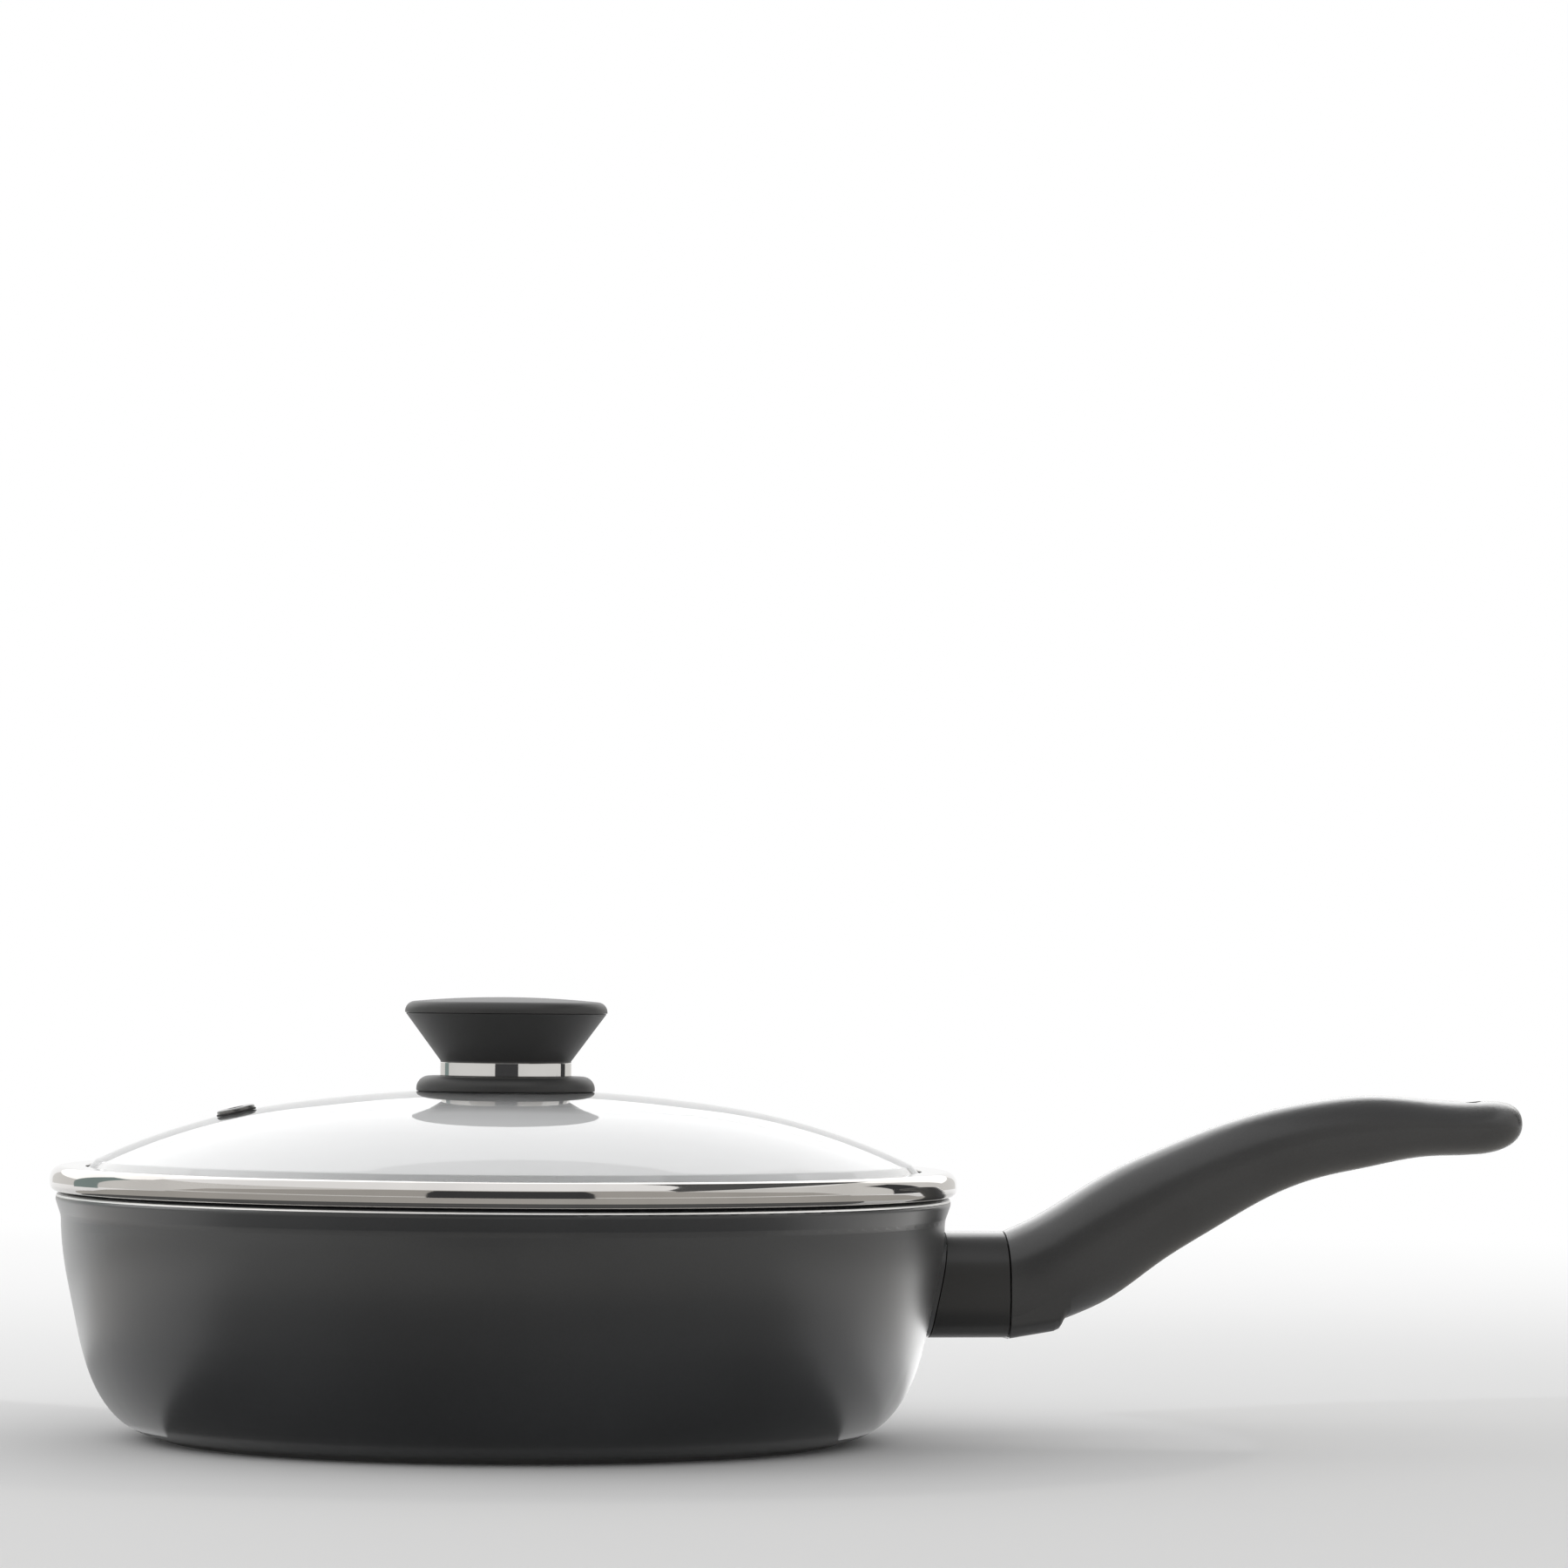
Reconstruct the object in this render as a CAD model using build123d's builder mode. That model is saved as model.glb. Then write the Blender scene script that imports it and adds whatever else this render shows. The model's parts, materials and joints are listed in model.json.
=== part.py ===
from build123d import *
from math import asin, copysign, cos, pi, sin, sqrt
from itertools import pairwise
import os

os.makedirs("parts", exist_ok=True)

# A saute pan with a glass lid and a handle that slides off a tongue on the pan.
# Origin at the centre of the base's underside, +Z up, +X along the handle. Millimetres.

# Clearances and working values
cut_overrun = 1.0
drill_length = 16.0
running_gap = 0.05
seating_gap = 0.1
moving_gap = 0.3
hexagon_sides = 6

# Pan body
rim_radius = 141.9
pan_height = 77.8
wall_thickness = 3.6
floor_thickness = 7.9
rim_width = 3.9
rim_edge_round = 2.2
mouth_edge_round = 0.5
flare_drop = 2.6
neck_drop = 7.6
neck_inset = 1.7
neck_round = 6.0
flare_round = 1.5
floor_inset = 6.0
corner_reach = 12.0
corner_rise = 3.6
floor_round = 25.0
# Radius as a share of the rim radius, height as a share of the body's height
wall_outline_shares = [
    (0.789, 0.000),
    (0.854, 0.060),
    (0.892, 0.142),
    (0.916, 0.226),
    (0.937, 0.341),
    (0.959, 0.524),
    (0.977, 0.688),
    (0.987, 0.852),
]
# Points of the outline that the inside leaves out at its foot
wall_foot_count = 4

# Base plate
base_inset = 3.8
base_step = 1.6
base_bevel = 0.8
spigot_inset = 8.2
spigot_height = 1.2
groove_count = 5
groove_inset = 16.2
groove_pitch = 14.0
groove_width = 1.2
groove_depth = 0.35

# Handle joint: the section that the pad, the collar and the grip's front share
joint_width = 28.2
joint_height = 33.8
joint_drop = 12.0
joint_squareness = 5.0
section_points_count = 16
pad_height = 2.4

# Lug and tongue
lug_reach = 10.4
lug_margin = 4.2
lug_round = 2.5
web_thickness = 3.0
plate_thickness = 3.0
tongue_width = 12.0
tongue_height = 9.0
tongue_rise = 18.5
tongue_reach = 34.0
tongue_tip_chamfer = 1.5
tooth_offset = 4.3
tooth_length = 4.0
tooth_depth = 1.5
tongue_screw_radius = 2.0
tongue_screw_head_radius = 3.7
tongue_screw_head_height = 2.0
tongue_screw_length = 13.0
tongue_screw_spread = 11.0
tongue_screw_rise = 10.5
driver_radius = 1.2
driver_depth = 1.3

# Collar, and the seam between it and the grip
collar_reach = 19.9
collar_seam = 0.35
handle_seam = 0.6

# Grip
grip_length = 173.8
grip_rise = 54.0
# Along the grip, rise of the centre, depth, width, squareness of the lower half
grip_station_shares = [
    (0.000, 0.000, 1.000, 1.00, 1.00),
    (0.056, 0.061, 1.065, 1.00, 0.84),
    (0.125, 0.167, 1.142, 1.00, 0.66),
    (0.197, 0.285, 1.201, 0.98, 0.54),
    (0.297, 0.468, 1.086, 0.94, 0.46),
    (0.397, 0.629, 0.979, 0.90, 0.44),
    (0.497, 0.770, 0.846, 0.89, 0.44),
    (0.598, 0.866, 0.749, 0.90, 0.44),
    (0.700, 0.918, 0.689, 0.93, 0.44),
    (0.801, 0.940, 0.565, 0.97, 0.44),
    (0.903, 0.940, 0.516, 0.99, 0.44),
    (0.937, 0.948, 0.497, 0.94, 0.43),
    (0.971, 0.961, 0.414, 0.74, 0.41),
    (0.991, 0.966, 0.250, 0.43, 0.40),
]
hang_bore_radius = 4.0
hang_bore_inset = 18.0

# Latch housing under the front of the grip
housing_length = 19.4
housing_side_inset = 0.2
housing_front_drop = 0.3
housing_rear_rise = 6.9
housing_top_rise = 8.0
housing_round = 4.5
# Along the housing, rise of its lower edge
housing_edge_shares = [
    (0.000, 0.00),
    (0.750, 0.33),
    (0.838, 0.44),
    (0.881, 0.61),
    (0.907, 0.76),
    (0.943, 0.90),
    (1.000, 1.00),
]

# Latch lever
lever_width = 11.6
lever_nose_inset = 0.4
lever_length = 17.5
lever_nose_drop = 0.6
lever_tail_rise = 2.6
lever_thickness = 2.9
lever_tail_chamfer = 2.5
lever_pivot_reach = 9.1
lever_pivot_rise = 10.0
lever_boss_radius = 3.2
lever_web_rise = 1.0
hook_length = 3.0
pin_radius = 1.5
pin_blind_reach = 9.5
pin_open_reach = 13.2
lever_side_gap = 0.4
lever_tail_gap = 2.6
lever_pocket_rise = 9.0

# Latch spring
spring_reach = 15.2
spring_radius = 2.0
spring_wire = 0.5
spring_turns = 4
spring_seat_rise = 12.2
spring_pocket_radius = 3.0

# Grip socket
socket_reach = 10.8
socket_margin = 0.7
socket_side_wall = 1.6
socket_roof = 1.6
socket_floor = 2.6
socket_gap = 0.15
socket_screw_reach = 27.6
socket_screw_radius = 1.5
socket_screw_head_radius = 2.8
socket_screw_head_height = 1.8
socket_screw_head_rise = 9.9

# Lid glass
lid_overhang = 2.0
crown_radius = 480.0
crown_reach = 70.0
shoulder_radius = 211.0
dome_inset = 14.4
dome_edge_rise = 2.6
glass_thickness = 4.0
glass_seat_rise = 7.2
glass_bend_inset = 12.1
glass_bend_round = 2.0
glass_edge_round = 1.5
glass_bend_share = 0.55
knob_hole_radius = 3.2

# Lid rim and its seal
strip_thickness = 0.7
lip_width = 11.0
lip_round = 3.6
seat_round = 2.0
skirt_round = 1.2
skirt_gap = 1.1
skirt_drop = 4.0
seal_width = 4.6
seal_cheek = 1.4
seal_cheek_height = 2.2

# Steam vent
vent_inset = 43.9
vent_head_radius = 6.0
vent_head_height = 1.1
vent_head_round = 0.6
vent_tube_radius = 3.4
vent_bore_radius = 2.6
vent_curl_radius = 5.0
vent_curl_height = 0.7
vent_gasket_height = 0.6
vent_gasket_radius = 6.3

# Knob
flange_radius = 28.4
flange_rise = 4.1
flange_edge_round = 4.0
flange_foot_round = 0.4
flange_hub_gap = 0.5
flange_lip_width = 3.0
knob_gasket_width = 6.2
knob_gasket_height = 1.7
ring_radius = 21.0
ring_height = 4.4
ring_wall = 2.0
cone_top_radius = 32.0
cone_height = 15.6
cone_foot_inset = 0.2
cone_lip_height = 0.4
knob_pocket_rim = 7.0
knob_pocket_floor_radius = 10.0
knob_pocket_depth = 9.0
cap_overhang = 0.2
cap_crown = 5.1
cap_shoulder_height = 3.4
cap_edge_round = 3.2
cap_plug_depth = 1.5
parting_gap = 0.25
parting_width = 1.4
insert_radius = 4.5
insert_length = 8.5
insert_inset = 0.6
knob_screw_radius = 2.5
knob_screw_tip_gap = 2.0
knob_screw_head_radius = 5.2
knob_screw_head_height = 2.2
knob_screw_head_round = 0.6
knob_screw_socket_radius = 1.7
knob_screw_socket_depth = 1.4
washer_radius = 13.6
washer_thickness = 2.8
knob_seal_radius = 9.6
knob_seal_thickness = 4.8

# Places that follow from the sizes above
wall_foot_radius = wall_outline_shares[0][0] * rim_radius
mouth_radius = rim_radius - rim_width
floor_height = base_step + floor_thickness
floor_flat_radius = wall_foot_radius - floor_inset
base_radius = wall_foot_radius - base_inset
spigot_radius = base_radius - spigot_inset
joint_high = pan_height - joint_drop
joint_low = joint_high - joint_height
joint_middle = (joint_low + joint_high) / 2
lug_width = joint_width - 2 * lug_margin
lug_height = joint_height - 2 * lug_margin
lug_end = rim_radius + lug_reach
collar_end = rim_radius + collar_reach
grip_start = collar_end + handle_seam
tongue_low = joint_low + tongue_rise
tongue_middle = tongue_low + tongue_height / 2
tongue_end = grip_start + tongue_reach
lid_radius = rim_radius + lid_overhang
dome_reach = lid_radius - dome_inset
glass_flange_height = pan_height + glass_seat_rise
glass_bend_radius = lid_radius - glass_bend_inset


def save(piece, name):
    piece.part.label = name
    export_step(piece.part, f"parts/{name}.step")


# Fillet on the corner of a sketch that is nearest to a point
def roundCorner(sketch, point, radius):
    fillet(sketch.vertices().sort_by_distance(point)[0], radius)


# Outer side of the pan as points, moved inwards by an inset
def wallPoints(inset):
    body_height = pan_height - base_step
    return [(r * rim_radius - inset, base_step + z * body_height) for r, z in wall_outline_shares]


# Radius of the wall's outer side at a height
def wallRadius(height):
    for (foot, low), (head, high) in pairwise(wallPoints(0)):
        if low <= height <= high:
            return foot + (head - foot) * (height - low) / (high - low)


# Drop of the dome at a radius below its outer apex, at a given depth in the glass
def domeDrop(radius, depth):
    join_angle = asin(crown_reach / crown_radius)
    if radius <= (crown_radius - depth) * sin(join_angle):
        return crown_radius - sqrt((crown_radius - depth) ** 2 - radius**2)
    centre_r = (crown_radius - shoulder_radius) * sin(join_angle)
    centre_drop = crown_radius - (crown_radius - shoulder_radius) * cos(join_angle)
    return centre_drop - sqrt((shoulder_radius - depth) ** 2 - (radius - centre_r) ** 2)


# Height of the glass dome at a radius, at a given depth in the glass
def domeHeight(radius, depth):
    return lid_apex - domeDrop(radius, depth)


# Slope of the dome's outer face at a radius on its shoulder
def shoulderAngle(radius):
    join_angle = asin(crown_reach / crown_radius)
    centre_r = (crown_radius - shoulder_radius) * sin(join_angle)
    return asin((radius - centre_r) / shoulder_radius)


# Two arcs along the dome from one radius to another, a given depth below the outer face
def domeArcs(start, end, depth):
    join = (crown_radius - depth) * crown_reach / crown_radius
    crown_middle = (start + join) / 2
    shoulder_middle = (join + end) / 2
    ThreePointArc(
        (start, domeHeight(start, depth)),
        (crown_middle, domeHeight(crown_middle, depth)),
        (join, domeHeight(join, depth)),
    )
    ThreePointArc(
        (join, domeHeight(join, depth)),
        (shoulder_middle, domeHeight(shoulder_middle, depth)),
        (end, domeHeight(end, depth)),
    )


# Closed handle section: an elliptical top half over a squarer lower half
def sectionPoints(width, low, high, squareness):
    middle = (low + high) / 2
    points = []
    for step in range(section_points_count):
        angle = 2 * pi * step / section_points_count
        side, rise = cos(angle), sin(angle)
        power = 1.0 if step <= section_points_count / 2 else 2.0 / squareness
        y = copysign(abs(side) ** power, side) * width / 2
        z = copysign(abs(rise) ** power, rise) * (high - low) / 2
        points.append((y, middle + z))
    return points


# Half outline of the pan below its neck, grown by a distance
def wallOutline(growth):
    points = wallPoints(-growth)
    Polyline((0, points[-1][1]), (0, base_step), points[0])
    Spline(*points)
    Line(points[-1], (0, points[-1][1]))


lid_apex = glass_flange_height + dome_edge_rise + domeDrop(dome_reach, 0)
vent_reach = dome_reach - vent_inset

# Pad and lug, cast on the wall
lug_root = wallRadius(joint_low) - wall_thickness / 2
with BuildPart() as handle_pad:
    with BuildSketch(Plane.YZ.offset(lug_root)):
        with BuildLine():
            Spline(*sectionPoints(joint_width, joint_low, joint_high, joint_squareness), periodic=True)
        make_face()
    extrude(amount=collar_end - lug_root)
    with BuildSketch(Plane.XZ):
        with BuildLine():
            wallOutline(pad_height)
        make_face()
    revolve(axis=Axis.Z, mode=Mode.INTERSECT)

screw_height = joint_low + tongue_screw_rise
screw_places = [(side * tongue_screw_spread / 2, screw_height) for side in (-1, 1)]
with BuildPart() as pan_body:
    outer = wallPoints(0)
    neck = (rim_radius - neck_inset, pan_height - neck_drop)
    flare = (rim_radius, pan_height - flare_drop)
    rim_corner = (rim_radius, pan_height)
    with BuildSketch(Plane.XZ) as half:
        with BuildLine():
            Polyline((0, base_step), outer[0])
            Spline(*outer)
            Polyline(outer[-1], neck, flare, rim_corner, (0, pan_height), (0, base_step))
        make_face()
        roundCorner(half, neck, neck_round)
        roundCorner(half, flare, flare_round)
        roundCorner(half, rim_corner, rim_edge_round)
    revolve(axis=Axis.Z)
    add(handle_pad.part)
    with BuildSketch(Plane.YZ.offset(lug_root)):
        with Locations((0, joint_middle)):
            RectangleRounded(lug_width, lug_height, lug_round)
    extrude(amount=lug_end - lug_root)
    # Cooking space
    inner = wallPoints(wall_thickness)
    corner = (floor_flat_radius + corner_reach, floor_height + corner_rise)
    with BuildSketch(Plane.XZ) as half:
        with BuildLine():
            Line((0, floor_height), (floor_flat_radius, floor_height))
            Spline((floor_flat_radius, floor_height), corner, *inner[wall_foot_count:])
            Polyline(
                inner[-1],
                (mouth_radius, pan_height),
                (mouth_radius, pan_height + cut_overrun),
                (0, pan_height + cut_overrun),
                (0, floor_height),
            )
        make_face()
        roundCorner(half, (floor_flat_radius, floor_height), floor_round)
    revolve(axis=Axis.Z, mode=Mode.SUBTRACT)
    mouth_edges = pan_body.edges().filter_by(GeomType.CIRCLE).group_by(Axis.Z)[-1]
    fillet(mouth_edges.sort_by(SortBy.RADIUS)[0], mouth_edge_round)
    # Recess for the base plate's spigot
    with BuildSketch(Plane.XY.offset(base_step)):
        Circle(spigot_radius + seating_gap)
    extrude(amount=spigot_height + seating_gap, mode=Mode.SUBTRACT)
    # Threaded holes in the lug's end
    with BuildSketch(Plane.YZ.offset(lug_end)):
        with Locations(*screw_places):
            Circle(tongue_screw_radius + running_gap)
    extrude(amount=-(tongue_screw_length - web_thickness), mode=Mode.SUBTRACT)
save(pan_body, "pan_body")

with BuildPart() as base_plate:
    with BuildSketch(Plane.XZ):
        with BuildLine():
            Polyline(
                (0, 0),
                (base_radius - base_bevel, 0),
                (base_radius, base_step),
                (spigot_radius, base_step),
                (spigot_radius, base_step + spigot_height),
                (0, base_step + spigot_height),
                close=True,
            )
        make_face()
    revolve(axis=Axis.Z)
    with BuildSketch(Plane.XZ):
        for ring in range(groove_count):
            with Locations((base_radius - groove_inset - ring * groove_pitch, 0)):
                Rectangle(groove_width, 2 * groove_depth)
    revolve(axis=Axis.Z, mode=Mode.SUBTRACT)
save(base_plate, "base_plate")

# Steel tongue with its plate, and a tooth under it that the latch hooks behind
web_face = lug_end + web_thickness
plate_face = web_face + plate_thickness
tooth_start = grip_start + tooth_offset
with BuildPart() as docking_tongue:
    with BuildSketch(Plane.YZ.offset(web_face)):
        with Locations((0, joint_middle)):
            RectangleRounded(lug_width, lug_height, lug_round)
    extrude(amount=plate_thickness)
    with BuildSketch(Plane.YZ.offset(plate_face)):
        with Locations((0, tongue_middle)):
            Rectangle(tongue_width, tongue_height)
    extrude(amount=tongue_end - plate_face)
    chamfer(docking_tongue.faces().sort_by(Axis.X)[-1].edges(), tongue_tip_chamfer)
    with BuildSketch(Plane.XZ):
        with BuildLine():
            Polyline(
                (tooth_start, tongue_low),
                (tooth_start, tongue_low - tooth_depth),
                (tooth_start + tooth_length / 2, tongue_low - tooth_depth),
                (tooth_start + tooth_length, tongue_low),
                close=True,
            )
        make_face()
    extrude(amount=tongue_width / 2, both=True)
    with BuildSketch(Plane.YZ.offset(plate_face)):
        with Locations(*screw_places):
            Circle(tongue_screw_radius + running_gap)
    extrude(amount=-plate_thickness, mode=Mode.SUBTRACT)
    for place in screw_places:
        with BuildSketch(Plane.YZ.offset(plate_face)):
            with Locations(place):
                Circle(tongue_screw_head_radius + running_gap)
        with BuildSketch(Plane.YZ.offset(plate_face - tongue_screw_head_height - running_gap)):
            with Locations(place):
                Circle(tongue_screw_radius + running_gap)
        loft(mode=Mode.SUBTRACT)
save(docking_tongue, "docking_tongue")

with BuildPart() as tongue_screws:
    with BuildSketch(Plane.YZ.offset(plate_face)):
        with Locations(*screw_places):
            Circle(tongue_screw_radius)
    extrude(amount=-tongue_screw_length)
    for place in screw_places:
        with BuildSketch(Plane.YZ.offset(plate_face)):
            with Locations(place):
                Circle(tongue_screw_head_radius)
        with BuildSketch(Plane.YZ.offset(plate_face - tongue_screw_head_height)):
            with Locations(place):
                Circle(tongue_screw_radius)
        loft()
    with BuildSketch(Plane.YZ.offset(plate_face)):
        with Locations(*screw_places):
            RegularPolygon(driver_radius, hexagon_sides)
    extrude(amount=-driver_depth, mode=Mode.SUBTRACT)
save(tongue_screws, "tongue_screws")

# Collar between the pad and the grip, clamped by the tongue's plate
lug_pocket_width = lug_width + 2 * seating_gap
lug_pocket_height = lug_height + 2 * seating_gap
with BuildPart() as handle_collar:
    with BuildSketch(Plane.YZ.offset(lug_root)):
        with BuildLine():
            Spline(*sectionPoints(joint_width, joint_low, joint_high, joint_squareness), periodic=True)
        make_face()
    extrude(amount=collar_end - lug_root)
    with BuildSketch(Plane.XZ):
        with BuildLine():
            wallOutline(pad_height + collar_seam)
        make_face()
    revolve(axis=Axis.Z, mode=Mode.SUBTRACT)
    with BuildSketch(Plane.YZ.offset(lug_root)):
        with Locations((0, joint_middle)):
            RectangleRounded(lug_pocket_width, lug_pocket_height, lug_round)
    extrude(amount=lug_end - lug_root, mode=Mode.SUBTRACT)
    with BuildSketch(Plane.YZ.offset(web_face)):
        with Locations((0, joint_middle)):
            RectangleRounded(lug_pocket_width, lug_pocket_height, lug_round)
    extrude(amount=collar_end - web_face + cut_overrun, mode=Mode.SUBTRACT)
    with BuildSketch(Plane.YZ.offset(lug_end)):
        with Locations(*screw_places):
            Circle(tongue_screw_radius + seating_gap)
    extrude(amount=web_thickness, mode=Mode.SUBTRACT)
save(handle_collar, "handle_collar")

# Places shared by the lever, its pin, its spring and the grip
lever_nose = grip_start + lever_nose_inset
lever_tail = lever_nose + lever_length
lever_nose_low = joint_low - lever_nose_drop
lever_tail_low = joint_low + lever_tail_rise
lever_pivot_x = grip_start + lever_pivot_reach
lever_pivot_z = joint_low + lever_pivot_rise
lever_pocket_top = joint_low + lever_pocket_rise
spring_x = grip_start + spring_reach
spring_top = joint_low + spring_seat_rise
socket_start = grip_start + socket_reach
socket_end = tongue_end + socket_margin
socket_screw_x = grip_start + socket_screw_reach
socket_screw_head_low = joint_low + socket_screw_head_rise
housing_width = joint_width - 2 * housing_side_inset
housing_front_low = joint_low - housing_front_drop
housing_rear_low = joint_low + housing_rear_rise
hook_end = tooth_start - moving_gap
hook_start = hook_end - hook_length
hook_top = tongue_low - moving_gap
lever_pocket_width = lever_width + 2 * lever_side_gap
lever_slope = (lever_tail_low - lever_nose_low) / (lever_tail - lever_nose)
lever_plate_top = lever_nose_low + lever_thickness
spring_low = lever_plate_top + lever_slope * (spring_x + spring_radius - lever_nose) + moving_gap
socket_width = tongue_width + 2 * (socket_gap + socket_side_wall)
socket_low = tongue_low - socket_gap - socket_floor
socket_high = tongue_low + tongue_height + socket_gap + socket_roof
pocket_back = lever_pivot_x + lever_boss_radius + lever_side_gap

with BuildPart() as handle_grip:
    for along, rise, depth, width, squareness in grip_station_shares:
        centre = joint_middle + rise * grip_rise
        half_depth = depth * joint_height / 2
        points = sectionPoints(
            width * joint_width, centre - half_depth, centre + half_depth, squareness * joint_squareness
        )
        with BuildSketch(Plane.YZ.offset(grip_start + along * grip_length)):
            with BuildLine():
                Spline(*points, periodic=True)
            make_face()
    loft()
    # Housing round the latch lever
    for along, rise in housing_edge_shares:
        low = housing_front_low + rise * (housing_rear_low - housing_front_low)
        high = joint_middle + along * housing_top_rise
        with BuildSketch(Plane.YZ.offset(grip_start + along * housing_length)):
            with Locations((0, (low + high) / 2)):
                RectangleRounded(housing_width, high - low, housing_round)
    loft(ruled=True)
    # Passage of the tongue, ahead of and round the socket
    with BuildSketch(Plane.YZ.offset(grip_start)):
        with Locations((0, tongue_middle)):
            Rectangle(lever_pocket_width, tongue_height + 2 * lever_side_gap)
    extrude(amount=socket_start - grip_start, mode=Mode.SUBTRACT)
    with BuildSketch(Plane.YZ.offset(socket_start)):
        with Locations((0, (socket_low + socket_high) / 2)):
            Rectangle(socket_width + 2 * seating_gap, socket_high - socket_low + 2 * seating_gap)
    extrude(amount=socket_end - socket_start + seating_gap, mode=Mode.SUBTRACT)
    # Lever pocket, open below, in front and behind
    with BuildSketch(Plane.XZ):
        with BuildLine():
            Polyline(
                (grip_start - cut_overrun, lever_nose_low - cut_overrun),
                (lever_tail + lever_tail_gap, lever_nose_low - cut_overrun),
                (lever_tail + lever_tail_gap, lever_pocket_top),
                (pocket_back, lever_pocket_top),
                (pocket_back, socket_low - seating_gap),
                (socket_start, socket_low - seating_gap),
                (socket_start, tongue_middle),
                (grip_start - cut_overrun, tongue_middle),
                close=True,
            )
        make_face()
    extrude(amount=lever_pocket_width / 2, both=True, mode=Mode.SUBTRACT)
    # Spring seat
    with BuildSketch(Plane.XY.offset(lever_nose_low)):
        with Locations((spring_x, 0)):
            Circle(spring_pocket_radius)
    extrude(amount=spring_top - lever_nose_low, mode=Mode.SUBTRACT)
    # Pin hole, blind on the -Y side
    with BuildSketch(Plane.XZ.offset(pin_blind_reach)):
        with Locations((lever_pivot_x, lever_pivot_z)):
            Circle(pin_radius + running_gap)
    extrude(amount=-(pin_blind_reach + joint_width), mode=Mode.SUBTRACT)
    # Counterbored hole for the socket's screw
    with BuildSketch(Plane.XY.offset(socket_low)):
        with Locations((socket_screw_x, 0)):
            Circle(socket_screw_radius + running_gap)
    extrude(amount=-joint_height, mode=Mode.SUBTRACT)
    with BuildSketch(Plane.XY.offset(socket_screw_head_low + socket_screw_head_height)):
        with Locations((socket_screw_x, 0)):
            Circle(socket_screw_head_radius + seating_gap)
    extrude(amount=-joint_height, mode=Mode.SUBTRACT)
    # Hanging bore
    with BuildSketch(Plane.XY.offset(joint_low)):
        with Locations((grip_start + grip_length - hang_bore_inset, 0)):
            Circle(hang_bore_radius)
    extrude(amount=grip_rise + joint_height, mode=Mode.SUBTRACT)
save(handle_grip, "handle_grip")

with BuildPart() as grip_socket:
    with BuildSketch(Plane.YZ.offset(socket_start)):
        with Locations((0, (socket_low + socket_high) / 2)):
            Rectangle(socket_width, socket_high - socket_low)
        with Locations((0, tongue_middle)):
            Rectangle(tongue_width + 2 * socket_gap, tongue_height + 2 * socket_gap, mode=Mode.SUBTRACT)
    extrude(amount=socket_end - socket_start)
    with BuildSketch(Plane.XY.offset(socket_low)):
        with Locations((socket_screw_x, 0)):
            Circle(socket_screw_radius + running_gap)
    extrude(amount=socket_floor, mode=Mode.SUBTRACT)
save(grip_socket, "grip_socket")

with BuildPart() as socket_screw:
    with BuildSketch(Plane.XY.offset(socket_screw_head_low)):
        with Locations((socket_screw_x, 0)):
            Circle(socket_screw_head_radius)
    extrude(amount=socket_screw_head_height)
    with BuildSketch(Plane.XY.offset(socket_screw_head_low)):
        with Locations((socket_screw_x, 0)):
            Circle(socket_screw_radius)
    extrude(amount=socket_low + socket_floor - socket_screw_head_low)
    with BuildSketch(Plane.XY.offset(socket_screw_head_low)):
        with Locations((socket_screw_x, 0)):
            RegularPolygon(driver_radius, hexagon_sides)
    extrude(amount=driver_depth, mode=Mode.SUBTRACT)
save(socket_screw, "socket_screw")

# Release key: a plate under the grip, a boss on the pin and a hook behind the tooth
web_top = lever_pivot_z + lever_web_rise
boss_back = lever_pivot_x + lever_boss_radius
with BuildPart() as latch_lever:
    with BuildSketch(Plane.XZ):
        with BuildLine():
            Polyline(
                (lever_nose, lever_nose_low),
                (lever_tail - lever_tail_chamfer, lever_tail_low - lever_slope * lever_tail_chamfer),
                (lever_tail, lever_tail_low + lever_tail_chamfer),
                (lever_tail, lever_tail_low + lever_thickness),
                (boss_back, lever_plate_top + lever_slope * (boss_back - lever_nose)),
                (boss_back, lever_pivot_z),
                (lever_pivot_x, web_top),
                (hook_end, web_top),
                (hook_end, hook_top),
                (hook_start, hook_top),
                (hook_start, lever_plate_top),
                (lever_nose, lever_plate_top),
                close=True,
            )
        make_face()
        with Locations((lever_pivot_x, lever_pivot_z)):
            Circle(lever_boss_radius)
            Circle(pin_radius + running_gap, mode=Mode.SUBTRACT)
    extrude(amount=lever_width / 2, both=True)
save(latch_lever, "latch_lever")

with BuildPart() as latch_pin:
    with BuildSketch(Plane.XZ.offset(pin_blind_reach)):
        with Locations((lever_pivot_x, lever_pivot_z)):
            Circle(pin_radius)
    extrude(amount=-(pin_blind_reach + pin_open_reach))
save(latch_pin, "latch_pin")

coil_height = spring_top - spring_low - spring_wire
with BuildPart() as latch_spring:
    with BuildLine():
        coil = Helix(
            pitch=coil_height / spring_turns,
            height=coil_height,
            radius=spring_radius,
            center=(spring_x, 0, spring_low + spring_wire / 2),
        )
    with BuildSketch(Plane(origin=coil @ 0, z_dir=coil % 0)):
        Circle(spring_wire / 2)
    sweep(path=coil, is_frenet=True)
save(latch_spring, "latch_spring")

# Steam vent's plane, on the dome opposite the handle
vent_angle = shoulderAngle(vent_reach)
vent_plane = Plane(
    origin=(-vent_reach, 0, domeHeight(vent_reach, 0)),
    x_dir=(cos(vent_angle), 0, sin(vent_angle)),
    z_dir=(-sin(vent_angle), 0, cos(vent_angle)),
)

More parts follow.
